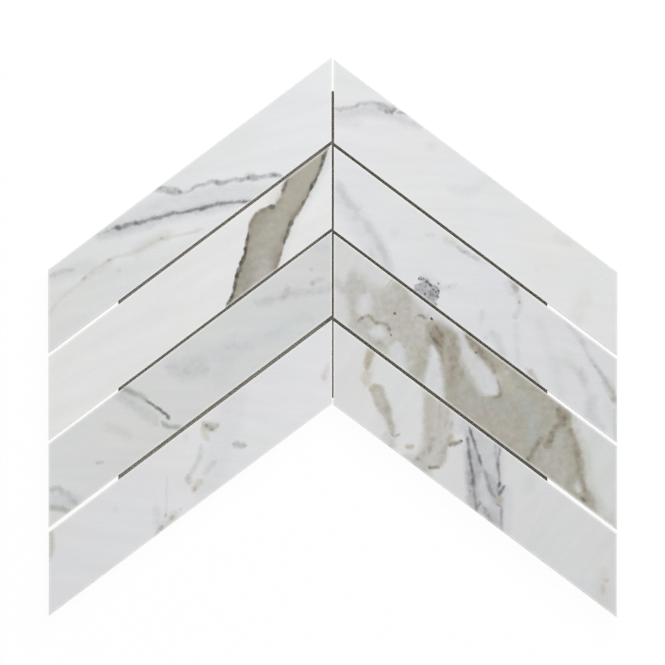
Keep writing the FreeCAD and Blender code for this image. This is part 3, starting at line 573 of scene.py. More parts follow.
veins["right", 3] = [
    ("fog", 0.9, 5, [(5, 17), (7, 15.5), (10, 13.5), (15, 13), (21, 13), (26, 10.5), (29, 7), (31, 3),
     (33, -1), (37, -6), (70, -8), (100, -8), (104, 23.5)], [(5, 17), (7, 22), (8.5, 30), (8.5, 38),
     (8, 46), (11, 52), (40, 55), (70, 55), (100, 55), (104, 23.5)]),
    ("fog", 0.7, 2.6, [(-2, 25.5, 1.6), (4, 25.8, 2), (9, 25.5, 2.2), (13, 26, 0)]),
    ("fog", 0.4, 4, [(10, 13, 0), (11, 19, 2.6), (11, 28, 3), (11, 35, 2.4), (11, 43, 0)]),
    ("rose", 0.45, 2.6, [(8.5, 39.5, 0), (12.5, 37.6, 1.8), (16.5, 36.8, 1.2), (20, 35, 0)]),
    ("greige", 0.55, 5, [(24, 10, 0), (32, 15, 5), (40, 22, 7), (46, 32, 6), (45, 44, 5), (46, 52, 4)]),
    ("olive", 0.35, 2.6, [(33, -2, 1), (37, 4.5, 2.4), (40, 9, 1.4), (43, 13, 0)]),
    ("olive", 0.4, 3, [(48.5, 21, 0), (48, 27, 2), (47.5, 34, 2.6), (45.5, 41, 2.6), (43.5, 48, 2.4)]),
    ("olive", 0.35, 2.6, [(15, 40, 0), (19, 40.8, 1.4), (24, 40.6, 1.6), (28, 40.5, 0)]),
    ("taupe", 1, 2.6, [(46, 15), (49, 12), (52, 8), (55, 5.5), (60, 4.3), (65, 3.4), (69, 0), (73, -4),
     (80, -8), (122, -8), (126.6, -3), (127.5, 2), (127.7, 8), (129, 12), (132, 16), (134, 22),
     (134.6, 28), (136, 33), (139.5, 37), (141, 42), (141.5, 47), (142, 50)], [(46, 15), (50, 22),
     (54, 30), (57, 38), (58, 46), (62, 54), (130, 56), (142, 50)]),
    ("fog", 0.55, 3, [(129, -2, 1.5), (129.5, 6, 1.5), (131.5, 11, 1.5), (134.5, 15, 1.5),
     (136.5, 22, 1.5), (137.3, 28, 1.5), (139, 33, 1.3), (142.8, 37, 1.3), (144, 42, 1.3),
     (144.5, 48, 1.3)]),
    ("sage", 0.7, 4, [(97, 6, 0), (101, 12, 2.6), (107, 18, 3), (107, 25, 3), (105.5, 33, 2.4),
     (104, 40, 0)]),
    ("sage", 0.6, 3, [(124.5, 10, 0), (122.5, 16, 2.2), (120.5, 22, 2), (118, 29, 0)]),
    ("sage", 0.5, 3.5, [(70, 28, 0), (80, 27, 2.4), (88, 27, 2), (94, 22, 2), (96, 14, 0)]),
    ("rose", 0.3, 4, [(62, 38, 0), (72, 36, 3), (84, 36, 4), (96, 38, 3), (110, 42, 0)]),
    ("sand", 0.35, 4, [(86, 2, 0), (92, 8, 3), (96, 13, 2), (98, 20, 0)]),
    ("olive", 0.4, 2.4, [(58, 6.5, 0), (62, 7, 1.8), (66, 8, 1.6), (68, 11, 0)]),
    ("pearl", 0.85, 3, [(40.5, -3, 0.6), (45, 1, 1.8), (50, 2.2, 2.2), (55, 2.2, 2.2), (60, 1.2, 2),
     (65, 0.5, 1.8), (70, 0.5, 1.4), (73, 0.9, 0)]),
    ("pearl", 0.85, 3.4, [(19, 15.6, 0), (17.6, 20, 1.7), (16.8, 24, 3.1), (16.3, 28, 3.1),
     (15.5, 31.5, 1.9), (14.3, 35.5, 0)]),
    ("pearl", 0.9, 3, [(16.5, 41, 0), (20.5, 37.5, 1.7), (23.5, 35.6, 2.4), (26.5, 34.2, 1.9),
     (31, 32.4, 0)]),
    ("pearl", 0.9, 3.8, [(33.8, 30, 0), (34, 35, 2.7), (34, 40, 4), (33.5, 47, 4.7)]),
    ("pearl", 1, 2.6, [(52.7, 17.5), (51.7, 22), (51.3, 30), (50.3, 38), (48.2, 47)], [(52.7, 17.5),
     (54.2, 20.5), (56.2, 26), (58, 31), (58.9, 36), (58.6, 47)]),
    ("pearl", 0.88, 4, [(66, -3), (66.8, 2), (68, 10), (70, 16), (73, 21), (77, 24), (81, 25.4),
     (84, 25.4)], [(68.2, -3), (71, 2.6), (74, 6), (79, 8.6), (84, 10.6), (87.7, 13.8), (88.4, 17),
     (87.3, 20.5), (84, 25.4)]),
    ("mist", 0.3, 1.2, [(75.5, 8, 0), (75.2, 13, 0.5), (75.6, 18, 0.5), (76.5, 23, 0)]),
    ("pearl", 0.6, 1.9, [(131, 31, 0), (131.7, 34.5, 1.2), (131.5, 38, 1.9), (130.3, 43, 0)]),
    ("pearl", 0.3, 1.7, [(90, 5.8, 0), (92.5, 5, 1.2), (95, 4.2, 0)]),
    ("clay", 0.7, 2.2, [(52.5, 6.5, 0), (54.3, 11, 1.6), (55.2, 14, 2), (56.2, 17, 1.7),
     (57.6, 20.5, 0.8), (58.8, 24.5, 0)]),
    ("clay", 0.55, 1.8, [(55.5, 8.5, 0), (57.8, 10.5, 1.2), (59.2, 13.5, 1), (60, 17, 0)]),
    ("umber", 0.4, 1.3, [(51, 15, 0), (53.3, 16.3, 0.8), (56.3, 17, 1), (58.6, 18.2, 0)]),
    ("clay", 0.5, 2.8, [(66, 1.5, 0), (65.3, 8, 1.4), (64.6, 14, 1.9), (64, 20, 1.9), (63.5, 26, 1.5),
     (63.5, 33, 1), (64.3, 40, 0)]),
    ("rose", 0.6, 2.6, [(59, 20, 0), (60.6, 26, 1.4), (60.6, 31, 1.4), (60, 37.5, 0)]),
    ("clay", 0.45, 2, [(66.5, 27, 0), (69, 24.5, 1.2), (71.5, 22.5, 0)]),
    ("clay", 0.45, 1.6, [(65.8, 8.5, 0), (67.5, 12.5, 0.9), (69.3, 15.7, 0)]),
    ("soot", 1, 0.7, [(52, 7.5, 0), (52.6, 6.4, 0.81), (53.2, 5.2, 0)]),
    ("umber", 0.55, 0.9, [(51.5, 7.9, 0), (48.7, 8.8, 0.6), (46.3, 9.3, 0.5), (44.6, 10.6, 0.3),
     (43.7, 12.3, 0.5), (42.8, 14, 0)]),
    ("soot", 0.85, 1, [(32, 19.7, 0), (32.7, 18.2, 0.7), (33.6, 16.6, 0)]),
    ("umber", 0.5, 1, [(29.2, 27.2, 0), (30, 29.2, 0.6), (30.4, 30.8, 0)]),
    ("soot", 0.75, 0.7, [(30.2, 32.4, 0), (30.9, 31.4, 0.55), (31.5, 30.5, 0)]),
    ("umber", 0.3, 1.3, [(37, 34.4, 0), (38, 32.5, 0.8), (38.9, 30.7, 0)]),
    ("umber", 0.4, 1, [(18, 31.2, 0), (19, 29.8, 0.6), (19.9, 28.5, 0)]),
    ("umber", 0.65, 0.8, [(13.9, 33, 0), (15.3, 33.8, 0.5), (17, 33.4, 0)]),
    ("umber", 0.35, 1.1, [(21.2, 30.3, 0), (23.2, 30.8, 0.7), (25.4, 29.6, 0)]),
    ("clay", 0.6, 1.4, [(10.5, 41, 0), (13, 37, 0.5), (15, 34.3, 0.7), (17, 31.8, 0.5), (19, 30.2, 0.7),
     (23, 30.5, 0.8), (26, 29, 0.5), (28.5, 28, 0.8), (30, 29, 0.7), (31.3, 32, 0)]),
    ("clay", 0.3, 1.6, [(20.5, 41.8, 0), (24, 40.8, 0.8), (27.5, 39.8, 0.8), (29.5, 39.8, 0)]),
    ("clay", 0.8, 2, [(70.3, -2, 0.8), (73, 1.5, 1.4), (75.5, 3.4, 1.7), (78, 4.5, 1.7), (81, 5.5, 1.5),
     (84, 7, 1.1), (86.3, 9.3, 0.6), (88, 12, 0)]),
    ("umber", 0.35, 1.2, [(70.8, 0.3, 0), (72.4, 1.3, 0.8), (74.4, 2.7, 0)]),
    ("olive", 0.6, 1.5, [(80, 7.6, 0), (82.8, 8, 1), (85.6, 7.4, 0)]),
    ("soot", 0.75, 0.7, [(75.5, 8, 0), (76.2, 6.9, 0.6), (77.1, 5.6, 0)]),
    ("clay", 0.6, 1, [(86.2, 9.6, 0), (88.3, 13.4, 0.6), (89.4, 16, 0.6), (89.3, 19, 0.66),
     (87.9, 21.5, 0.96), (86.2, 23.7, 0.72), (83, 26.2, 0)]),
    ("clay", 0.6, 3, [(117.5, 7, 0), (121, 4.5, 2.4), (125.5, 3, 2), (128, 1, 0)]),
    ("greige", 0.6, 4, [(122, 12, 0), (119, 22, 3), (117, 31, 6), (117, 41, 8), (117, 52, 8)]),
    ("clay", 0.85, 2, [(120, 1, 0), (121.6, 4.8, 1.8), (123.2, 7, 2.2), (124.4, 9, 1.4),
     (124.8, 12, 0)]),
    ("umber", 0.5, 1.4, [(122.5, 4.5, 0), (123.6, 6.8, 1), (124.5, 9, 0)]),
    ("olive", 0.8, 1.2, [(126.1, -2, 0.9), (126.8, 4, 0.8), (126.4, 9, 0.9), (127.6, 13, 0.3),
     (127.9, 14.1, 0)]),
    ("clay", 0.9, 1.5, [(124.1, 6.3, 0), (123.5, 7.3, 0.39), (121, 11.5, 0.78), (119.3, 14.5, 0.91),
     (118, 17.5, 1.04), (117, 20.5, 1.3), (116.3, 23.3, 1.69), (115.5, 26, 1.69), (114, 29, 1.17),
     (112.3, 32, 0)]),
    ("umber", 0.6, 1.2, [(117, 21.6, 0), (116, 24, 1.32), (115.1, 26.4, 0)]),
    ("clay", 0.85, 1.6, [(112.2, 23, 0), (111, 27, 0.9), (109.5, 30.5, 1.08), (108, 34, 0.99),
     (106.8, 37, 0.99), (105.8, 40, 1.08), (104.5, 43, 0.99), (103.3, 47, 0.72)]),
    ("umber", 0.65, 1.2, [(105.4, 40.6, 0), (104.3, 42.6, 0.8), (102.8, 44.7, 0)]),
    ("umber", 0.3, 0.9, [(116.2, 20.3, 0), (116.8, 18.9, 0.5), (117.4, 17.6, 0)]),
    ("olive", 0.5, 2.2, [(128, 6, 0), (130, 14, 1.4), (132, 22, 1.4), (133.5, 30, 1.2),
     (136.5, 38, 0)]),
    ("clay", 0.7, 2, [(127, 7.9, 0), (127.3, 9, 0.27), (128.5, 13, 0.81), (129.8, 16, 1.08),
     (130.6, 19, 1.17), (131, 23, 1.17), (131.3, 27, 0.9), (132.3, 31, 0.9), (133.8, 35, 0.81),
     (135.3, 38, 0.72), (137.3, 42, 0)]),
    ("rose", 0.5, 2.2, [(126, 10, 0), (127.8, 15, 1.2), (128.7, 19, 0)]),
    ("clay", 0.85, 1.8, [(131, 42.6, 0), (133.5, 42.3, 1.3), (135.3, 41, 1.5), (137.2, 38.8, 1.3),
     (138.7, 36, 0)]),
    ("umber", 0.6, 1.2, [(132.2, 43.4, 0), (134.5, 42.4, 0.9), (136.4, 40.6, 0)]),
    ("rose", 0.55, 1.7, [(136, 36, 0), (137.8, 37.8, 1.1), (140, 38.7, 0)]),
    ("moss", 0.6, 2, [(129.3, 5.5, 0), (130.7, 8.5, 1.1), (131.7, 11.6, 0)]),
    ("pearl", 0.4, 5, [(140, 51, 4), (149, 41, 5), (156, 32, 4)]),
    ("umber", 0.6, 0.8, [(51.6, 12.7, 0), (52.1, 14.7, 0.5), (53.6, 16.3, 0.55), (55.7, 16.6, 0.6),
     (57.9, 17.2, 0.5), (58.6, 19.7, 0)]),
    ("umber", 0.45, 0.8, [(53.6, 7.7, 0), (55.2, 8.9, 0.4), (56.6, 10.3, 0.5), (58.3, 11.1, 0.4),
     (59.3, 12.3, 0)]),
    ("clay", 0.35, 1, [(56.2, 18.8, 0), (57.5, 21.3, 0.4), (58.6, 23.9, 0.4), (59.8, 27.1, 0)]),
    ("clay", 0.3, 1.2, [(63.4, 20.3, 0), (64.1, 23.2, 0.5), (63.9, 27.5, 0.5), (63.1, 32.2, 0)]),
    ("sage", 0.45, 5, [(67.9, 23.1, 0), (70, 27, 3), (71.4, 31.5, 4), (74.1, 35.6, 4),
     (79.6, 36.3, 0)]),
    ("mist", 0.35, 2, [(76.9, 13.6, 0), (80.3, 15.9, 1.6), (83.7, 17.4, 2), (86.1, 17.7, 0)]),
    ("mist", 0.3, 2, [(52.8, 27.6, 0), (53.6, 31.8, 1.4), (54.2, 36.2, 1.8), (53.5, 41.5, 0)]),
]
veins["right", 4] = [
    ("sand", 0.3, 3, [(21.5, -2, 2), (20, 5, 2.6), (18.5, 13, 2.4), (17.5, 20, 2), (16.5, 26, 0)]),
    ("tan", 1, 1.8, [(21, -2, 1.6), (20.3, 1.5, 1.7), (19.7, 4, 1.7), (19, 7, 1.6), (18.3, 9.5, 1.3),
     (17.9, 12, 0.9), (17.6, 15, 0)]),
    ("sand", 0.8, 2.2, [(19.2, 10, 0), (18.2, 14, 1.4), (17.6, 17, 1.5), (17.5, 20, 1.3),
     (16.3, 23.5, 0)]),
    ("fog", 0.36, 3, [(22.5, 15.5, 0), (23.5, 19, 2), (25.2, 22.5, 2.6), (27.5, 26.5, 2.6),
     (29.6, 30.5, 2.2), (31.3, 34.5, 1.5), (32.2, 38, 0.8), (31.4, 42, 1.8), (31, 48, 2)]),
    ("tan", 0.4, 2.2, [(24, 13.5, 0), (24, 18, 2.6), (25.5, 22.5, 2.8), (27.5, 26.5, 2.6),
     (29.6, 30.5, 1.8), (31.3, 34.5, 1.4), (32, 38.5, 0)]),
    ("tan", 0.85, 1.5, [(25.5, 15, 0), (24.3, 17.3, 1.6), (22.5, 19, 2.2), (20.8, 21, 1.9),
     (18.9, 23.5, 0)]),
    ("greige", 0.9, 1.6, [(24.5, 14.7, 0), (24.9, 16, 0.6), (26, 19.5, 1), (27.2, 22, 1.1),
     (28.2, 24.5, 1.5), (28.7, 27, 2.1), (29.3, 29, 1.7), (30.2, 31.5, 1.3), (31, 34, 1.3),
     (31.5, 36.5, 1.1), (32.2, 39.5, 0)]),
    ("greige", 0.8, 1.6, [(20.3, 19.2, 0), (21, 20.6, 0.8), (22.5, 23.5, 1.4), (24, 25.7, 1.6),
     (25.5, 27.5, 1.2), (27.5, 29, 0.8), (29.5, 31, 0)]),
    ("rose", 0.5, 1.4, [(21.3, 20, 0), (19.9, 22, 1.1), (18.5, 24, 0)]),
    ("olive", 0.5, 1.4, [(27.5, 23.5, 0), (28.3, 26.3, 1.1), (28.7, 29.5, 0)]),
    ("ash", 0.35, 1.4, [(23.2, 23.5, 0), (24.6, 26, 0.7), (25.3, 28.5, 0)]),
    ("stone", 0.5, 1, [(30.8, 35.5, 0), (32.2, 37.7, 0.5), (33.8, 36.4, 0.6), (35, 34.8, 0.6),
     (37.2, 32, 0)]),
    ("ash", 0.4, 1.6, [(31.6, 38.5, 0), (31, 42, 0.6), (31, 48, 0.8)]),
    ("moss", 0.4, 3, [(27.5, 35, 0), (28.5, 41, 2.2), (29.5, 48, 3)]),
    ("tan", 0.85, 1.6, [(37.2, 39.6, 0), (39.3, 38, 0.78), (41, 36.7, 0.98), (42.7, 35.3, 0.78),
     (45, 33.3, 0)]),
    ("fog", 0.55, 3, [(34, 46, 0), (40, 43.5, 2.4), (46, 43, 2.8), (50, 44, 2), (54, 48, 1)]),
    ("greige", 0.62, 3, [(48.5, -3), (48.7, 5), (48.8, 12), (48.7, 18), (48.3, 24), (47.7, 30),
     (46.8, 34), (45, 38), (43, 42), (41.5, 48)], [(66.5, -3), (65.5, 4), (64.5, 9), (63, 14),
     (61.7, 18), (61, 22), (60.2, 26), (59.4, 29), (58.3, 32.5), (57, 35.5), (54.5, 38), (52.5, 40),
     (50, 43.5), (48.5, 48)]),
    ("mist", 0.9, 2.6, [(70, -3, 2.2), (68.3, 4, 2.8), (66.7, 9, 2.2), (66, 13, 0)]),
    ("olive", 0.38, 3, [(51.5, -3, 2), (51.5, 6, 2), (51.5, 15, 1.8), (51, 24, 1.6), (50.5, 31, 0)]),
    ("rose", 0.3, 2.8, [(59.5, -2, 1.8), (59, 5, 2), (58, 10, 2), (57.3, 14, 1.4), (56.3, 19, 1.2),
     (54.8, 26, 0)]),
    ("pearl", 0.5, 3, [(66, -3, 3), (65, 4, 2.6), (64, 10, 1.6), (63, 15, 0)]),
    ("fog", 0.6, 2.4, [(59, 17, 0), (57.6, 23, 1.6), (57, 28, 1.9), (56, 33, 1.5), (53.5, 38, 0)]),
    ("ash", 0.5, 1.4, [(64.5, 4, 0), (63.4, 7.5, 0.8), (62.6, 10.5, 0.8), (61.3, 13.5, 0)]),
    ("sand", 0.45, 1.4, [(53.3, -3, 0.4), (53.5, 8, 0.6), (53, 18, 0.5), (51.5, 28, 0)]),
    ("clay", 0.24, 1.5, [(56.5, -3, 0.2), (56.9, 5, 0.4), (56.3, 13, 0.3), (55, 22, 0)]),
    ("clay", 0.2, 1.5, [(61.7, -2, 0.2), (61.2, 5, 0.4), (60, 11, 0.3), (58.6, 18, 0)]),
    ("clay", 0.45, 2, [(54.6, 18, 0), (53.5, 23, 0.7), (52.4, 27, 0.9), (51.8, 29.5, 1.1),
     (51.4, 32, 0.8), (50.6, 35, 0)]),
    ("stone", 0.25, 1.1, [(52.6, 27, 0), (52, 30, 0.7), (51.6, 32.6, 0)]),
    ("clay", 0.32, 2, [(50.2, 30, 0), (49, 33.5, 0.6), (47.7, 36, 0.8), (46.2, 38.8, 0.9),
     (44.7, 40.5, 1), (43, 42.5, 0)]),
    ("stone", 0.25, 1, [(43.7, 41.3, 0), (45.3, 39.9, 0.7), (47, 38, 0)]),
    ("tan", 0.75, 1.7, [(63.2, 11.5, 0), (62.7, 15, 1.54), (62, 18, 1.68), (60.3, 21.5, 0)]),
    ("olive", 0.55, 2.1, [(62.5, 17.6, 0), (62, 18.7, 0.2), (60, 23, 0.9), (59.5, 26, 1.1),
     (58.9, 29, 1.1), (58.3, 31.5, 0.9), (57.3, 34, 0.7), (56, 36.3, 0.5), (53.5, 38.7, 0.3),
     (52.6, 39.5, 0)]),
    ("clay", 0.9, 1, [(69.6, 11.2, 0), (68.6, 13.2, 0.7), (67.5, 14.6, 0.9), (66.2, 16, 1.1),
     (65, 17.3, 1.2), (63.7, 18.6, 1.1), (62.4, 19.9, 0.8), (60.5, 21.5, 0)]),
    ("umber", 0.55, 0.8, [(69.4, 11.4, 0), (68.7, 13, 0.7), (67.7, 14.3, 0)]),
    ("umber", 0.3, 0.9, [(67.4, 14.6, 0), (66, 16.2, 0.8), (64.3, 17.9, 0)]),
    ("clay", 0.8, 1.1, [(58, 34.2, 0), (56.5, 36.3, 0.5), (54.5, 38, 0.6), (52.8, 39.4, 0.8),
     (51.3, 40.5, 1), (50, 41.7, 0)]),
    ("umber", 0.4, 0.9, [(52.9, 39.4, 0), (51.5, 40.3, 0.7), (50.4, 41.2, 0)]),
    ("pewter", 0.55, 3, [(69.5, -3), (71, 5), (71.3, 12), (70.8, 18), (71.3, 24), (71.5, 30), (72, 36),
     (72.2, 42), (72.2, 48)], [(90.2, -3), (90, 5), (89.8, 12), (90.3, 18), (91, 22), (91, 28),
     (90.8, 34), (90.5, 40), (90.3, 48)]),
    ("steel", 0.65, 2.6, [(73, 9), (72.5, 16), (72, 22), (71.8, 28), (72.3, 34), (72.5, 40),
     (72.8, 48)], [(73, 9), (76, 14), (78.3, 17), (79.3, 20.5), (78, 26), (77.5, 31), (77.8, 36),
     (78.3, 41), (77.5, 48)]),
    ("mist", 0.2, 2.4, [(80, 3, 0), (82.5, 8, 2), (84, 14, 1.8), (84, 19, 0)]),
    ("mist", 0.5, 2, [(79.5, 21, 0), (80, 26, 1.4), (80.5, 31, 2), (82, 36, 1.6), (85, 38, 0)]),
    ("steel", 0.6, 2.2, [(80, 16.8, 0), (83, 21, 1.4), (85.5, 24.5, 2.6), (87, 28, 2.6),
     (87.5, 31.5, 1.7), (88, 36, 0)]),
    ("steel", 0.45, 2.2, [(78, 36, 0), (82, 40.5, 1.8), (86, 43, 2.4), (89, 47, 2)]),
    ("shale", 0.35, 2.2, [(73.6, 21, 0), (73.6, 26, 1.2), (73.3, 31, 1.4), (73.5, 37, 0)]),
    ("shale", 0.25, 1, [(69.8, 3.4, 0), (71.2, 7.5, 0.7), (72, 10, 0.6), (72.6, 13, 0)]),
    ("shale", 0.78, 0.8, [(72, 0.3, 0), (72.8, 2.8, 0.5), (73.6, 4.6, 0.85), (74.6, 6.8, 0.65),
     (75.6, 8.6, 0.85), (76.6, 11, 0.6), (77.6, 13.2, 0.6), (78.5, 15, 0.85), (79.3, 17.2, 0.5),
     (80.6, 20, 0)]),
    ("flint", 0.55, 0.6, [(72.9, 3, 0), (73.8, 5, 0.5), (74.7, 6.9, 0.25), (75.8, 8.9, 0.6),
     (76.7, 11, 0)]),
    ("flint", 0.45, 0.6, [(77.6, 13.2, 0), (78.6, 15.2, 0.6), (79.2, 16.9, 0)]),
    ("shale", 0.78, 1, [(71.2, 6, 0), (71.8, 9, 0.5), (72.6, 12.5, 0.6), (73, 15, 0.75),
     (73.2, 18, 0.85), (73.8, 20.5, 0.6), (74.2, 23, 0.6), (74.8, 26, 0.75), (75, 28.5, 0.95),
     (75, 31, 0.95), (75.3, 34, 0.5), (75.5, 37, 0.7), (76, 40, 0.5), (76.5, 43, 0.45),
     (77.2, 47, 0.4)]),
    ("flint", 0.55, 0.7, [(72.9, 14, 0), (73.3, 17.5, 0.6), (73.7, 20, 0.3), (74.3, 24, 0.3),
     (74.8, 27.5, 0.6), (75, 30.5, 0.7), (75.2, 33, 0)]),
    ("shale", 0.65, 0.8, [(74.2, 34.4, 0), (73.2, 36.3, 0.75), (71.8, 38.4, 0)]),
    ("shale", 0.45, 1, [(79.6, 17.5, 0), (81.3, 20, 0.75), (82, 22, 0.65), (82.5, 24, 0.75),
     (83.6, 26, 0.85), (84.6, 28, 0.85), (86, 29.6, 0.6), (87.8, 31.4, 0)]),
    ("shale", 0.65, 0.8, [(79.8, 36.2, 0), (78.6, 38.5, 0.85), (77.7, 41, 0.5), (76.7, 43.5, 0.5),
     (75.8, 47, 0.45)]),
    ("shale", 0.4, 1.3, [(79.2, 37.7, 0), (81.5, 40.5, 0.8), (83.3, 42.7, 1), (86, 46, 0.8)]),
    ("shale", 0.62, 0.8, [(89.7, -2, 0.6), (89.2, 3, 0.5), (88.6, 7, 0.45), (88.1, 10, 0.75),
     (88.1, 12.5, 0.85), (88.5, 15.5, 0.45), (88.9, 18, 0.65), (89, 20, 0.65), (88.7, 22.3, 0.95),
     (88.3, 24.5, 0.5), (87.9, 27, 0)]),
    ("flint", 0.25, 0.6, [(88, 9, 0), (88.1, 11.5, 0.6), (88.3, 14, 0)]),
    ("flint", 1, 0.6, [(88.9, 18, 0), (88.8, 21.8, 0.86), (88.3, 24, 0)]),
    ("shale", 0.4, 1.1, [(86.8, -2, 0.5), (86.9, 4, 0.5), (87.3, 8, 0.5), (88, 11.5, 0)]),
    ("ash", 0.5, 2, [(93, 16.5, 0), (91.3, 20.5, 1), (89.8, 24, 1.3), (88.8, 28, 0)]),
    ("flint", 0.8, 0.8, [(92.6, 17.4, 0), (91.6, 20, 0.5), (90.8, 21.8, 0.75), (90, 23.5, 0.65),
     (89.2, 25.2, 0.85), (88.7, 27, 0.5), (88.2, 29, 0)]),
    ("tan", 0.7, 1.8, [(90.7, 24.3, 0), (89.8, 27.5, 1.3), (89.3, 29.5, 1.6), (88.7, 31.5, 1.4),
     (87.9, 34, 0)]),
    ("shale", 0.55, 1.1, [(91, 30, 0), (89.5, 32.3, 0.7), (88.2, 32.8, 0.7), (87.2, 34.8, 0)]),
    ("stone", 0.65, 1, [(90.8, 30, 0), (90.2, 34, 0.75), (90.1, 37.5, 0.6), (90.2, 41, 0.65),
     (90, 48, 0.6)]),
    ("mist", 0.6, 2.6, [(92.8, 13, 0), (93.6, 20, 1.4), (93.6, 27, 1.9), (93.3, 34, 1.9),
     (92.8, 41, 1.7), (92.5, 48, 1.7)]),
    ("moss", 0.25, 4, [(104, -1, 0), (105.5, 7, 2.4), (104.5, 13, 2), (102, 19, 0)]),
    ("mist", 0.25, 5, [(122, 52, 3), (138, 42, 4), (154, 36, 4)]),
    ("sand", 0.3, 3.5, [(147.3, 19, 0), (144.7, 26, 2.4), (144.5, 33, 2.8), (143.5, 41, 2.8),
     (143, 48, 2.4)]),
    ("stone", 0.22, 1.4, [(149, 25.4, 0), (147, 28.3, 0.6), (145.7, 30, 0.7), (144, 32, 0)]),
    ("rose", 0.4, 1.3, [(144.9, 30.5, 0), (144.2, 34, 0.6), (144.3, 37, 0.7), (142.7, 41.3, 0)]),
]


def tilePlace(column, row):  # turns a place on the tile, out and down, into the sheet's x and y
    side, gap, top = sides[column], sheetSizes["spineJoint"][row] / 2, sheetSizes["top"][column][row]
    return lambda out, down: Vector((side * (gap + out), top - slope * out - down))


def veinEdges(points, place, feather):
    middle = [place(out, down) for out, down, half in points]
    along = (middle[-1] - middle[0]).normalized()
    across = Vector((-along.y, along.x))
    halves = [half or -2 * feather for out, down, half in points]
    return ([at + across * half for at, half in zip(middle, halves)],
            [at - across * half for at, half in zip(middle, halves)])


def patchEdges(left, right, place, feather):
    left, right = [place(*point) for point in left], [place(*point) for point in right]
    along = (left[-1] + right[-1] - left[0] - right[0]).normalized()
    across = Vector((-along.y, along.x))
    leftOff, rightOff = [sum(at.dot(across) for at in edge) / len(edge) for edge in (left, right)]
    if leftOff < rightOff:
        left, right = right, left
    for end in (0, -1):
        if left[end] == right[end]:  # the edges meet, so the patch fades out
            left[end] = left[end] - across * 2 * feather
            right[end] = right[end] + across * 2 * feather
    return left, right


# A vein is laid over the stone under it. Its nodes all start from the same bent place, since a chain
# of places from vein to vein would be more than the renderer can hold.
def drawVein(tree, place, under, pigment, gather, fray, feather, edges):
    start, end = [edges[0][n] + edges[1][n] for n in (0, -1)]
    along = (end - start).normalized()
    across = Vector((-along.y, along.x))
    run, off = [addNode(tree, "ShaderNodeVectorMath", {0: place, 1: (*axis, 0)},
                        operation="DOT_PRODUCT").outputs["Value"] for axis in (along, across)]
    curves = []
    for edge in edges:
        stations = [(at.dot(along), at.dot(across)) for at in edge]
        curve = addNode(tree, "ShaderNodeFloatCurve", {"Value": run})
        curve.mapping.use_clip = False
        curve.mapping.extend = "HORIZONTAL"
        line = curve.mapping.curves[0]
        line.points[0].location = stations[0]
        line.points[1].location = stations[-1]
        for station in stations[1:-1]:
            line.points.new(*station)
        for point in line.points:
            point.handle_type = "AUTO_CLAMPED"
        curve.mapping.update()
        curves.append(curve.outputs[0])
    upper = addNode(tree, "ShaderNodeMath", {0: curves[0], 1: off}, operation="SUBTRACT")
    lower = addNode(tree, "ShaderNodeMath", {0: off, 1: curves[1]}, operation="SUBTRACT")
    inside = addNode(tree, "ShaderNodeMath", {0: upper.outputs[0], 1: lower.outputs[0]},
                     operation="MINIMUM")
    inside = addNode(tree, "ShaderNodeMath", {
        0: fray, 1: marble["tuft"] * feather, 2: inside.outputs[0]}, operation="MULTIPLY_ADD")
    mask = addNode(tree, "ShaderNodeMapRange", {
        "Value": inside.outputs[0], "From Min": -feather, "From Max": marble["core"] * feather},
        interpolation_type="SMOOTHSTEP")
    mask = addNode(tree, "ShaderNodeMath", {0: mask.outputs[0], 1: gather}, operation="MULTIPLY")
    mixed = addNode(tree, "ShaderNodeMix", {0: mask.outputs[0], 6: under, 7: pigment},
                    data_type="RGBA")
    return mixed.outputs[2]


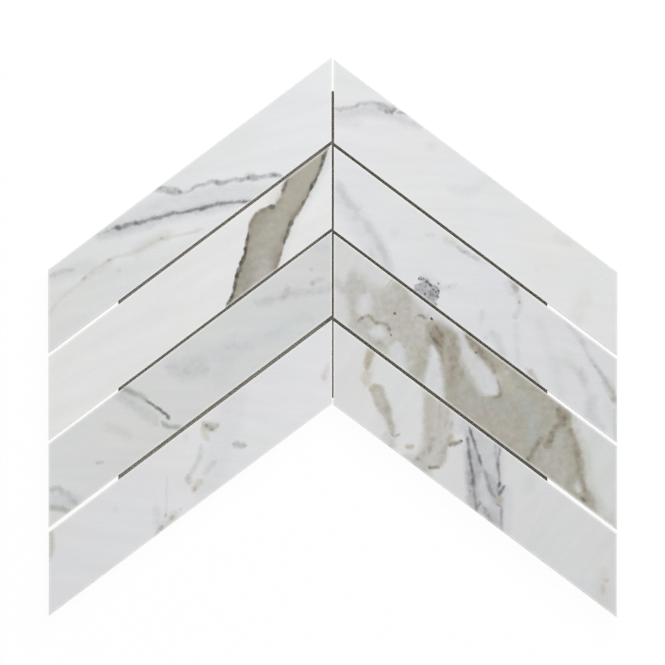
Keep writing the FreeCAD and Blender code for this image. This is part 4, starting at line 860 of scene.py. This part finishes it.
def makeMarble(column, row):
    side, onTile = sides[column], tilePlace(column, row)
    inner, outer, lean = tileTones[column, row]
    seed = marble["blocks"][column] + 2.0 * row
    material, tree = newMaterial(f"polishedMarble_{column}_{row}")
    point = addNode(tree, "ShaderNodeTexCoord")
    inMm = addNode(tree, "ShaderNodeVectorMath", {0: point.outputs["Object"], "Scale": 1 / mm},
                   operation="SCALE")
    # veins run down into the slab on a slant
    depth = addNode(tree, "ShaderNodeSeparateXYZ", {0: inMm.outputs[0]})
    depth = addNode(tree, "ShaderNodeMath", {0: depth.outputs["Z"], 1: sheetSizes["tileFace"]},
                    operation="SUBTRACT")
    place = addNode(tree, "ShaderNodeVectorMath",
                    {0: depth.outputs[0], 1: (*marble["slant"], 0), 2: inMm.outputs[0]},
                    operation="MULTIPLY_ADD").outputs[0]
    solid = place
    for width, reach in marble["waver"]:
        bend = addNode(tree, "ShaderNodeTexNoise", {
            "Vector": solid, "Scale": 1 / width, "Detail": 1.0, "W": seed}, noise_dimensions="4D")
        bend = addNode(tree, "ShaderNodeVectorMath", {0: bend.outputs["Color"], 1: (0.5, 0.5, 0.5)},
                       operation="SUBTRACT")
        place = addNode(tree, "ShaderNodeVectorMath",
                        {0: bend.outputs[0], 1: (2 * reach, 2 * reach, 0), 2: place},
                        operation="MULTIPLY_ADD").outputs[0]
    blotch = addNode(tree, "ShaderNodeTexNoise", {
        "Vector": place, "Scale": 1 / marble["blotch"], "Detail": 2.0, "W": seed + 3},
        noise_dimensions="4D").outputs["Fac"]
    mottle = addNode(tree, "ShaderNodeMapRange", {
        "Value": blotch, "From Min": marble["mottle"][0], "From Max": marble["mottle"][1]}).outputs[0]
    fray = addNode(tree, "ShaderNodeTexNoise", {
        "Vector": solid, "Scale": 1 / marble["fray"], "Detail": 3.0, "W": seed + 7},
        noise_dimensions="4D")
    fray = addNode(tree, "ShaderNodeMath", {0: fray.outputs["Fac"], 1: 0.5},
                   operation="SUBTRACT").outputs[0]

    across = addNode(tree, "ShaderNodeSeparateXYZ", {0: solid})
    outward = addNode(tree, "ShaderNodeMapRange", {
        "Value": across.outputs["X"], "From Min": 0.0, "From Max": side * sheetSizes["tileRun"]})
    colour = addNode(tree, "ShaderNodeMix", {
        0: outward.outputs[0], 6: linear(inner), 7: linear(outer)}, data_type="RGBA").outputs[2]
    for mineral, strength, feather, *lines in veins[column, row]:
        dark, light, loose = minerals[mineral]
        pigment = addNode(tree, "ShaderNodeMix", {
            0: mottle, 6: linear(light), 7: linear(dark)}, data_type="RGBA").outputs[2]
        gather = addNode(tree, "ShaderNodeMapRange", {
            "Value": blotch, "From Min": marble["gather"][0], "From Max": marble["gather"][1],
            "To Min": (1 - loose) * strength, "To Max": strength}).outputs[0]
        edges = (patchEdges if len(lines) > 1 else veinEdges)(*lines, onTile, feather)
        colour = drawVein(tree, place, colour, pigment, gather, fray, feather, edges)

    # painted highlight: the face is painted paler in a band along its edges, standing in for light
    # caught by the eased arris
    upright = addNode(tree, "ShaderNodeMath", {
        0: across.outputs["X"], 1: slope * side, 2: across.outputs["Y"]}, operation="MULTIPLY_ADD")
    spineEnd = onTile(0, sheetSizes["tileHeight"] / 2)
    middle = onTile(sheetSizes["tileRun"] / 2, sheetSizes["tileHeight"] / 2)
    square = 1 / math.hypot(1, slope)  # of an upright length, the part square to a long edge
    levels = []
    for value, centre, half, share in (
            (across.outputs["X"], middle.x, sheetSizes["tileRun"] / 2, 1.0),
            (upright.outputs[0], spineEnd.y + slope * side * spineEnd.x,
             sheetSizes["tileHeight"] / 2, square)):
        off = addNode(tree, "ShaderNodeMath", {0: value, 1: centre}, operation="SUBTRACT")
        off = addNode(tree, "ShaderNodeMath", {0: off.outputs[0]}, operation="ABSOLUTE")
        levels.append(addNode(tree, "ShaderNodeMath", {
            0: off.outputs[0], 1: -share, 2: half * share}, operation="MULTIPLY_ADD").outputs[0])
    inFrom = addNode(tree, "ShaderNodeMath", {0: levels[0], 1: levels[1]}, operation="MINIMUM")
    paintedEdgeHighlight = addNode(tree, "ShaderNodeMapRange", {
        "Value": inFrom.outputs[0], "From Max": marble["paintedEdgeHighlight"],
        "To Min": marble["highlightAndChalkShare"], "To Max": 0.0}, interpolation_type="SMOOTHSTEP")
    # polished where the stone faces up, sawn where it faces sideways
    facing = addNode(tree, "ShaderNodeSeparateXYZ", {0: point.outputs["Normal"]})
    sawn = addNode(tree, "ShaderNodeMapRange", {
        "Value": facing.outputs["Z"], "From Min": marble["facing"][1], "From Max": marble["facing"][0]})
    # sawn sides take the chalky colour; near the face's edges the same colour is painted highlight
    highlightAndChalk = addNode(tree, "ShaderNodeMath", {
        0: sawn.outputs[0], 1: marble["highlightAndChalkShare"], 2: paintedEdgeHighlight.outputs[0]}, operation="MULTIPLY_ADD")
    colour = addNode(tree, "ShaderNodeMix", {
        0: highlightAndChalk.outputs[0], 6: colour, 7: linear(marble["highlightAndChalk"])}, data_type="RGBA").outputs[2]

    # clouds, streaks of the bed and the sugar of crystals shade it all
    cloud = addNode(tree, "ShaderNodeTexNoise", {
        "Vector": place, "Scale": 1 / marble["cloud"], "Detail": 3.0, "W": seed + 5},
        noise_dimensions="4D")
    tint = addNode(tree, "ShaderNodeVectorMath", {
        0: cloud.outputs["Color"], 1: marble["cloudSwing"], 2: marble["cloudLow"]},
        operation="MULTIPLY_ADD")
    bed = addNode(tree, "ShaderNodeMapping", {
        "Vector": place, "Scale": (*marble["streak"], 10.0),
        "Rotation": (0, 0, math.radians(lean))}, vector_type="TEXTURE")
    streak = addNode(tree, "ShaderNodeTexNoise", {
        "Vector": bed.outputs[0], "Scale": 1.0, "Detail": 4.0, "Roughness": 0.55, "W": seed + 9},
        noise_dimensions="4D")
    streak = addNode(tree, "ShaderNodeMapRange", {
        "Value": streak.outputs["Fac"], "From Min": noiseSpan[0], "From Max": noiseSpan[1],
        "To Min": marble["streakLevels"][0], "To Max": marble["streakLevels"][1]})
    grain = addNode(tree, "ShaderNodeTexNoise", {
        "Vector": solid, "Scale": 1 / marble["grain"], "Detail": 2.0})
    sugar = addNode(tree, "ShaderNodeMapRange", {
        "Value": grain.outputs["Fac"], "From Min": noiseSpan[0], "From Max": noiseSpan[1],
        "To Min": marble["grainLevels"][0], "To Max": marble["grainLevels"][1]})
    shade = addNode(tree, "ShaderNodeMath", {0: streak.outputs[0], 1: sugar.outputs[0]},
                    operation="MULTIPLY")
    shade = addNode(tree, "ShaderNodeVectorMath", {0: tint.outputs[0], "Scale": shade.outputs[0]},
                    operation="SCALE")
    colour = addNode(tree, "ShaderNodeVectorMath", {0: colour, 1: shade.outputs[0]},
                     operation="MULTIPLY").outputs[0]

    bright = addNode(tree, "ShaderNodeRGBToBW", {0: colour})
    polish = addNode(tree, "ShaderNodeMapRange", {
        "Value": bright.outputs[0],
        "From Min": marble["polishTones"][0], "From Max": marble["polishTones"][1],
        "To Min": marble["polish"] + marble["dullVein"], "To Max": marble["polish"]})
    rough = addNode(tree, "ShaderNodeMix", {
        0: sawn.outputs[0], 2: polish.outputs[0], 3: marble["sawn"]}, data_type="FLOAT")
    saw = addNode(tree, "ShaderNodeTexWave", {
        "Vector": inMm.outputs[0], "Scale": 2 * math.pi / 20 / marble["sawPitch"],
        "Distortion": 1.5, "Detail": 2.0, "Detail Scale": 0.4}, bands_direction="Z")
    relief = addNode(tree, "ShaderNodeMath", {0: saw.outputs["Fac"], 1: sawn.outputs[0]},
                     operation="MULTIPLY")
    relief = addNode(tree, "ShaderNodeMath", {
        0: grain.outputs["Fac"], 1: marble["grainRelief"], 2: relief.outputs[0]},
        operation="MULTIPLY_ADD")
    bump = addNode(tree, "ShaderNodeBump", {
        "Height": relief.outputs[0], "Strength": 1.0, "Distance": marble["relief"] * mm})
    shader = addNode(tree, "ShaderNodeBsdfPrincipled", {
        "Base Color": colour, "Roughness": rough.outputs[0], "IOR": marble["ior"],
        "Normal": bump.outputs[0]})
    addNode(tree, "ShaderNodeOutputMaterial", {"Surface": shader.outputs[0]})
    return material


# Tiles: sawn square from the slab, the arris round the face eased by hand stone.

tileEdge = {
    "step": 0.7,  # between points round the edge
    "cornerRadius": 0.25,
    "cornerSteps": 4,
    "arris": 0.26,
    "arrisTurns": (0, 30, 60, 90),  # degrees round the arris, from the edge up to the face
    "arrisWaver": 0.08,
    "waverLength": 1.9,
    "arrisLeast": 0.12,
    "cornerArris": 0.2,
    "nickEvery": 55.0,  # one small chip to this much edge
    "nickClear": 1.0,  # none this near to a corner
    "nickDepth": 0.5,
    "nickLength": 1.2,
    "nickSizes": (0.3, 1.0),  # of the largest chip
    "bend": 0.03,  # how far a long edge strays from straight
    "bendLength": 17.0,
    "bendIn": 0.6,  # keeps the stray edge inside the sawn line
    "cornerEase": 3.0,  # corners keep their places, and edges waver fully this far from them
}


def tileOutline(column, row):
    onTile = tilePlace(column, row)
    run, tall = sheetSizes["tileRun"], sheetSizes["tileHeight"]
    corners = [onTile(0, 0), onTile(run, 0), onTile(run, tall), onTile(0, tall)]
    if sides[column] > 0:
        corners.reverse()  # anticlockwise seen from above
    radius, step, turns = tileEdge["cornerRadius"], tileEdge["step"], tileEdge["cornerSteps"]
    outline = []  # point, outward normal, and how far along it is from the nearest corner
    for n, corner in enumerate(corners):
        before = (corners[n - 1] - corner).normalized()
        after = (corners[(n + 1) % 4] - corner).normalized()
        half = before.angle(after) / 2
        centre = corner + (before + after).normalized() * radius / math.sin(half)
        first = Vector((before.y, -before.x))
        last = Vector((-after.y, after.x))
        first = first if first.dot(corner - centre) > 0 else -first
        last = last if last.dot(corner - centre) > 0 else -last
        for k in range(turns + 1):
            normal = first.lerp(last, k / turns).normalized()
            outline.append((centre + normal * radius, normal, 0.0))
        start = centre + last * radius
        nextCorner = corners[(n + 1) % 4]
        nextHalf = (-after).angle((corners[(n + 2) % 4] - nextCorner).normalized()) / 2
        length = (nextCorner - corner).length - radius / math.tan(half) - radius / math.tan(nextHalf)
        count = max(2, round(length / step))
        for k in range(1, count):
            inFrom = min(k, count - k) / count * length
            outline.append((start + after * length * k / count, last, inFrom))
    return outline


def makeTile(name, column, row, material):
    draw = random.Random(name)
    outline = tileOutline(column, row)
    face, back = sheetSizes["tileFace"], sheetSizes["tileBack"]
    seed = draw.uniform(0, 100)
    nicks = []
    for point, normal, inFrom in outline:
        if inFrom > tileEdge["nickClear"] and draw.random() < tileEdge["step"] / tileEdge["nickEvery"]:
            nicks.append((point, draw.uniform(*tileEdge["nickSizes"])))
    bm = bmesh.new()
    turns = tileEdge["arrisTurns"]
    rings = [[] for n in range(len(turns) + 1)]  # the back first, the face last
    for point, normal, inFrom in outline:
        spot = Vector((point.x, point.y, seed))
        ease = min(1.0, inFrom / tileEdge["cornerEase"])
        bend = noise.noise(spot / tileEdge["bendLength"]) - tileEdge["bendIn"]
        arris = tileEdge["arris"] + tileEdge["arrisWaver"] * ease * noise.noise(
            spot / tileEdge["waverLength"])
        for centre, size in nicks:
            near = (point - centre).length / (tileEdge["nickLength"] * size)
            if near < 1:
                arris += tileEdge["nickDepth"] * size * (1 - near * near)
        arris = max(tileEdge["arrisLeast"], min(arris, tileEdge["cornerArris"] + inFrom / 2))
        at = point + normal * tileEdge["bend"] * ease * bend
        rings[0].append(bm.verts.new(Vector((at.x, at.y, back)) * mm))
        for ring, turn in zip(rings[1:], turns):
            inward = at - normal * arris * (1 - math.cos(math.radians(turn)))
            drop = arris * (1 - math.sin(math.radians(turn)))
            ring.append(bm.verts.new(Vector((inward.x, inward.y, face - drop)) * mm))
    for n, (low, high) in enumerate(zip(rings, rings[1:])):
        for k in range(len(outline)):
            m = (k + 1) % len(outline)
            bm.faces.new((low[k], low[m], high[m], high[k])).smooth = n > 0
    bm.faces.new(rings[-1])
    bm.faces.new(list(reversed(rings[0])))
    bmesh.ops.recalc_face_normals(bm, faces=bm.faces)
    piece = newPiece(f"{name}_polished", bm, [material])
    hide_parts(name)
    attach(piece, "root")


# Net: leno-woven glass-fibre yarns, two twisted warps gripping each flat weft, rolled onto the backs
# with a pigmented adhesive.

net = {
    "top": 132.2625,  # y of its upper edge on the spine
    "height": 164.55,
    "split": 56.0,  # where the inner strip meets the outer one
    "half": 115.15,
    "pitch": 8.0,
    "yarnWidth": 1.1,
    "yarnDepth": 0.3,
    "yarnLow": 0.01,  # z of a yarn's underside
    "yarnSides": 8,
    "weftStep": 1.2,
    "weftStray": 0.12,
    "weftWave": 9.0,
    "warpStep": 1.0,
    "warpWidth": 0.5,  # of a weft's
    "warpDepth": 0.62,
    "warpSwing": 0.3,  # how far a warp winds to either side, and up and down
    "warpLift": 0.05,
    "coatLow": 0.3,
    "coatHigh": 0.5,
    "coatDip": 0.07,  # how far the coat sinks between threads
    "coatRipple": 4.0,
    "grid": 1.3,  # mesh size of the coat
}

# Acrylic adhesive, rolled on and dried: the eye gets a dull, faintly pebbled skin.
# Glass fibre, woven from rovings: the eye gets threads with a soft sheen, streaked by their filaments.
netFinishes = {
    "rolledAdhesive": {
        "tones": ("#dcd8cb", "#ebe8de"), "width": 2.5, "detail": 4.0, "breakUp": 0.6,
        "rough": (0.75, 0.95), "relief": 0.1, "bump": 0.8, "ior": 1.47},
    "wovenGlassFibre": {
        "tones": ("#ebe8de", "#eceae2"), "width": 0.35, "detail": 2.0, "breakUp": 0.5,
        "rough": (0.5, 0.75), "relief": 0.05, "bump": 0.7, "ior": 1.52},
}  # a filament is 0.01 mm, so bundles of them are drawn


def makeNetMaterial(name):
    finish = netFinishes[name]
    dark, light = finish["tones"]
    material, tree = newMaterial(name)
    point = addNode(tree, "ShaderNodeTexCoord")
    inMm = addNode(tree, "ShaderNodeVectorMath", {0: point.outputs["Object"], "Scale": 1 / mm},
                   operation="SCALE")
    pattern = addNode(tree, "ShaderNodeTexNoise", {
        "Vector": inMm.outputs[0], "Scale": 1 / finish["width"], "Detail": finish["detail"],
        "Roughness": finish["breakUp"]}).outputs["Fac"]
    colour = addNode(tree, "ShaderNodeMix", {
        0: pattern, 6: linear(dark), 7: linear(light)}, data_type="RGBA")
    rough = addNode(tree, "ShaderNodeMapRange", {
        "Value": pattern, "To Min": finish["rough"][0], "To Max": finish["rough"][1]})
    bump = addNode(tree, "ShaderNodeBump", {
        "Height": pattern, "Strength": finish["bump"], "Distance": finish["relief"] * mm})
    shader = addNode(tree, "ShaderNodeBsdfPrincipled", {
        "Base Color": colour.outputs[2], "Roughness": rough.outputs[0], "IOR": finish["ior"],
        "Normal": bump.outputs[0]})
    addNode(tree, "ShaderNodeOutputMaterial", {"Surface": shader.outputs[0]})
    return material


def sweepYarn(bm, line, width, depth):
    sidesRound = net["yarnSides"]
    rings = []
    for k, (x, y, z) in enumerate(line):
        here = Vector((x, y))
        ahead = Vector(line[min(k + 1, len(line) - 1)][:2]) - Vector(line[max(k - 1, 0)][:2])
        across = Vector((-ahead.y, ahead.x)).normalized()
        ring = []
        for n in range(sidesRound):
            turn = math.tau * n / sidesRound
            spot = here + across * math.cos(turn) * width / 2
            ring.append(bm.verts.new(Vector((spot.x, spot.y, z + math.sin(turn) * depth / 2)) * mm))
        rings.append(ring)
    for one, two in zip(rings, rings[1:]):
        for n in range(sidesRound):
            m = (n + 1) % sidesRound
            bm.faces.new((one[n], one[m], two[m], two[n])).smooth = True
    bm.faces.new(list(reversed(rings[0])))
    bm.faces.new(rings[-1])


def makeNet(column, strip, coat, yarn):
    side = sides[column]
    near, far = (0.0, net["split"]) if strip == "inner" else (net["split"], net["half"])
    name = f"net_{column}_{strip}"
    top, tall, pitch = net["top"], net["height"], net["pitch"]

    # the coat, a thin closed skin that dips between threads
    bm = bmesh.new()
    across = round((far - near) / net["grid"])
    down = round(tall / net["grid"])
    low, high = [], []
    for i in range(across + 1):
        for j in range(down + 1):
            out = near + (far - near) * i / across
            x, y = side * out, top - slope * out - tall * j / down
            overX = math.cos(math.tau * x / pitch)
            overY = math.cos(math.tau * y / pitch)
            ridge = max(0.0, max(overX, overY) * 2 - 1) ** 0.5
            ripple = 0.5 + 0.5 * noise.noise(Vector((x, y, 3.0)) / net["coatRipple"])
            dip = net["coatDip"] * (1 - ridge) * ripple
            high.append(bm.verts.new(Vector((x, y, net["coatHigh"] - dip)) * mm))
            low.append(bm.verts.new(Vector((x, y, net["coatLow"] + dip / 2)) * mm))
    wide = down + 1
    for i in range(across):
        for j in range(down):
            a, b, c, d = (i * wide + j, (i + 1) * wide + j, (i + 1) * wide + j + 1, i * wide + j + 1)
            bm.faces.new((high[a], high[b], high[c], high[d])).smooth = True
            bm.faces.new((low[d], low[c], low[b], low[a])).smooth = True
    rim = [i * wide for i in range(across)] + [across * wide + j for j in range(down)]
    rim += [i * wide + down for i in range(across, 0, -1)] + [j for j in range(down, 0, -1)]
    for n, a in enumerate(rim):
        b = rim[(n + 1) % len(rim)]
        bm.faces.new((high[a], low[a], low[b], high[b]))
    bmesh.ops.recalc_face_normals(bm, faces=bm.faces)
    skin = newPiece(f"{name}_coat", bm, [coat])

    bm = bmesh.new()
    middle = net["yarnDepth"] / 2 + net["yarnLow"]
    # flat wefts across
    for j in range(math.floor((top - slope * far - tall) / pitch), math.ceil(top / pitch) + 1):
        y = j * pitch
        first = max(near, (top - tall - y) / slope)
        last = min(far, (top - y) / slope)
        if last - first < 2:
            continue
        count = max(3, round((last - first) / net["weftStep"]))
        line = []
        for k in range(count + 1):
            x = side * (first + (last - first) * k / count)
            stray = net["weftStray"] * noise.noise(Vector((x / net["weftWave"], y, 1.0)))
            line.append((x, y + stray, middle))
        sweepYarn(bm, line, net["yarnWidth"], net["yarnDepth"])
    # twisted warp pairs down
    for i in range(math.ceil(near / pitch), math.floor(far / pitch) + 1):
        out = i * pitch
        if (strip == "inner" and i == 0 and side > 0) or (strip == "outer" and out == near):
            continue
        start, stop = top - slope * out, top - slope * out - tall
        count = round(tall / net["warpStep"])
        for hand in (0, 1):
            line = []
            for k in range(count + 1):
                y = start + (stop - start) * k / count
                turn = math.pi * y / pitch + math.pi * hand
                x = side * out + net["warpSwing"] * math.cos(turn)
                line.append((x, y, middle + net["warpLift"] * math.sin(turn)))
            sweepYarn(bm, line, net["yarnWidth"] * net["warpWidth"], net["yarnDepth"] * net["warpDepth"])
    bmesh.ops.recalc_face_normals(bm, faces=bm.faces)
    threads = newPiece(f"{name}_yarns", bm, [yarn])
    for piece in (skin, threads):
        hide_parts(name)
        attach(piece, "root")


makeCamera()
makeStudio()
print("camera, floor and lamps")

for column in sides:
    for row in range(1, 5):
        name = f"tile_{column}_{row}"
        makeTile(name, column, row, makeMarble(column, row))
        print(name)

coat, yarn = makeNetMaterial("rolledAdhesive"), makeNetMaterial("wovenGlassFibre")
for column in sides:
    for strip in ("inner", "outer"):
        makeNet(column, strip, coat, yarn)
print("net")
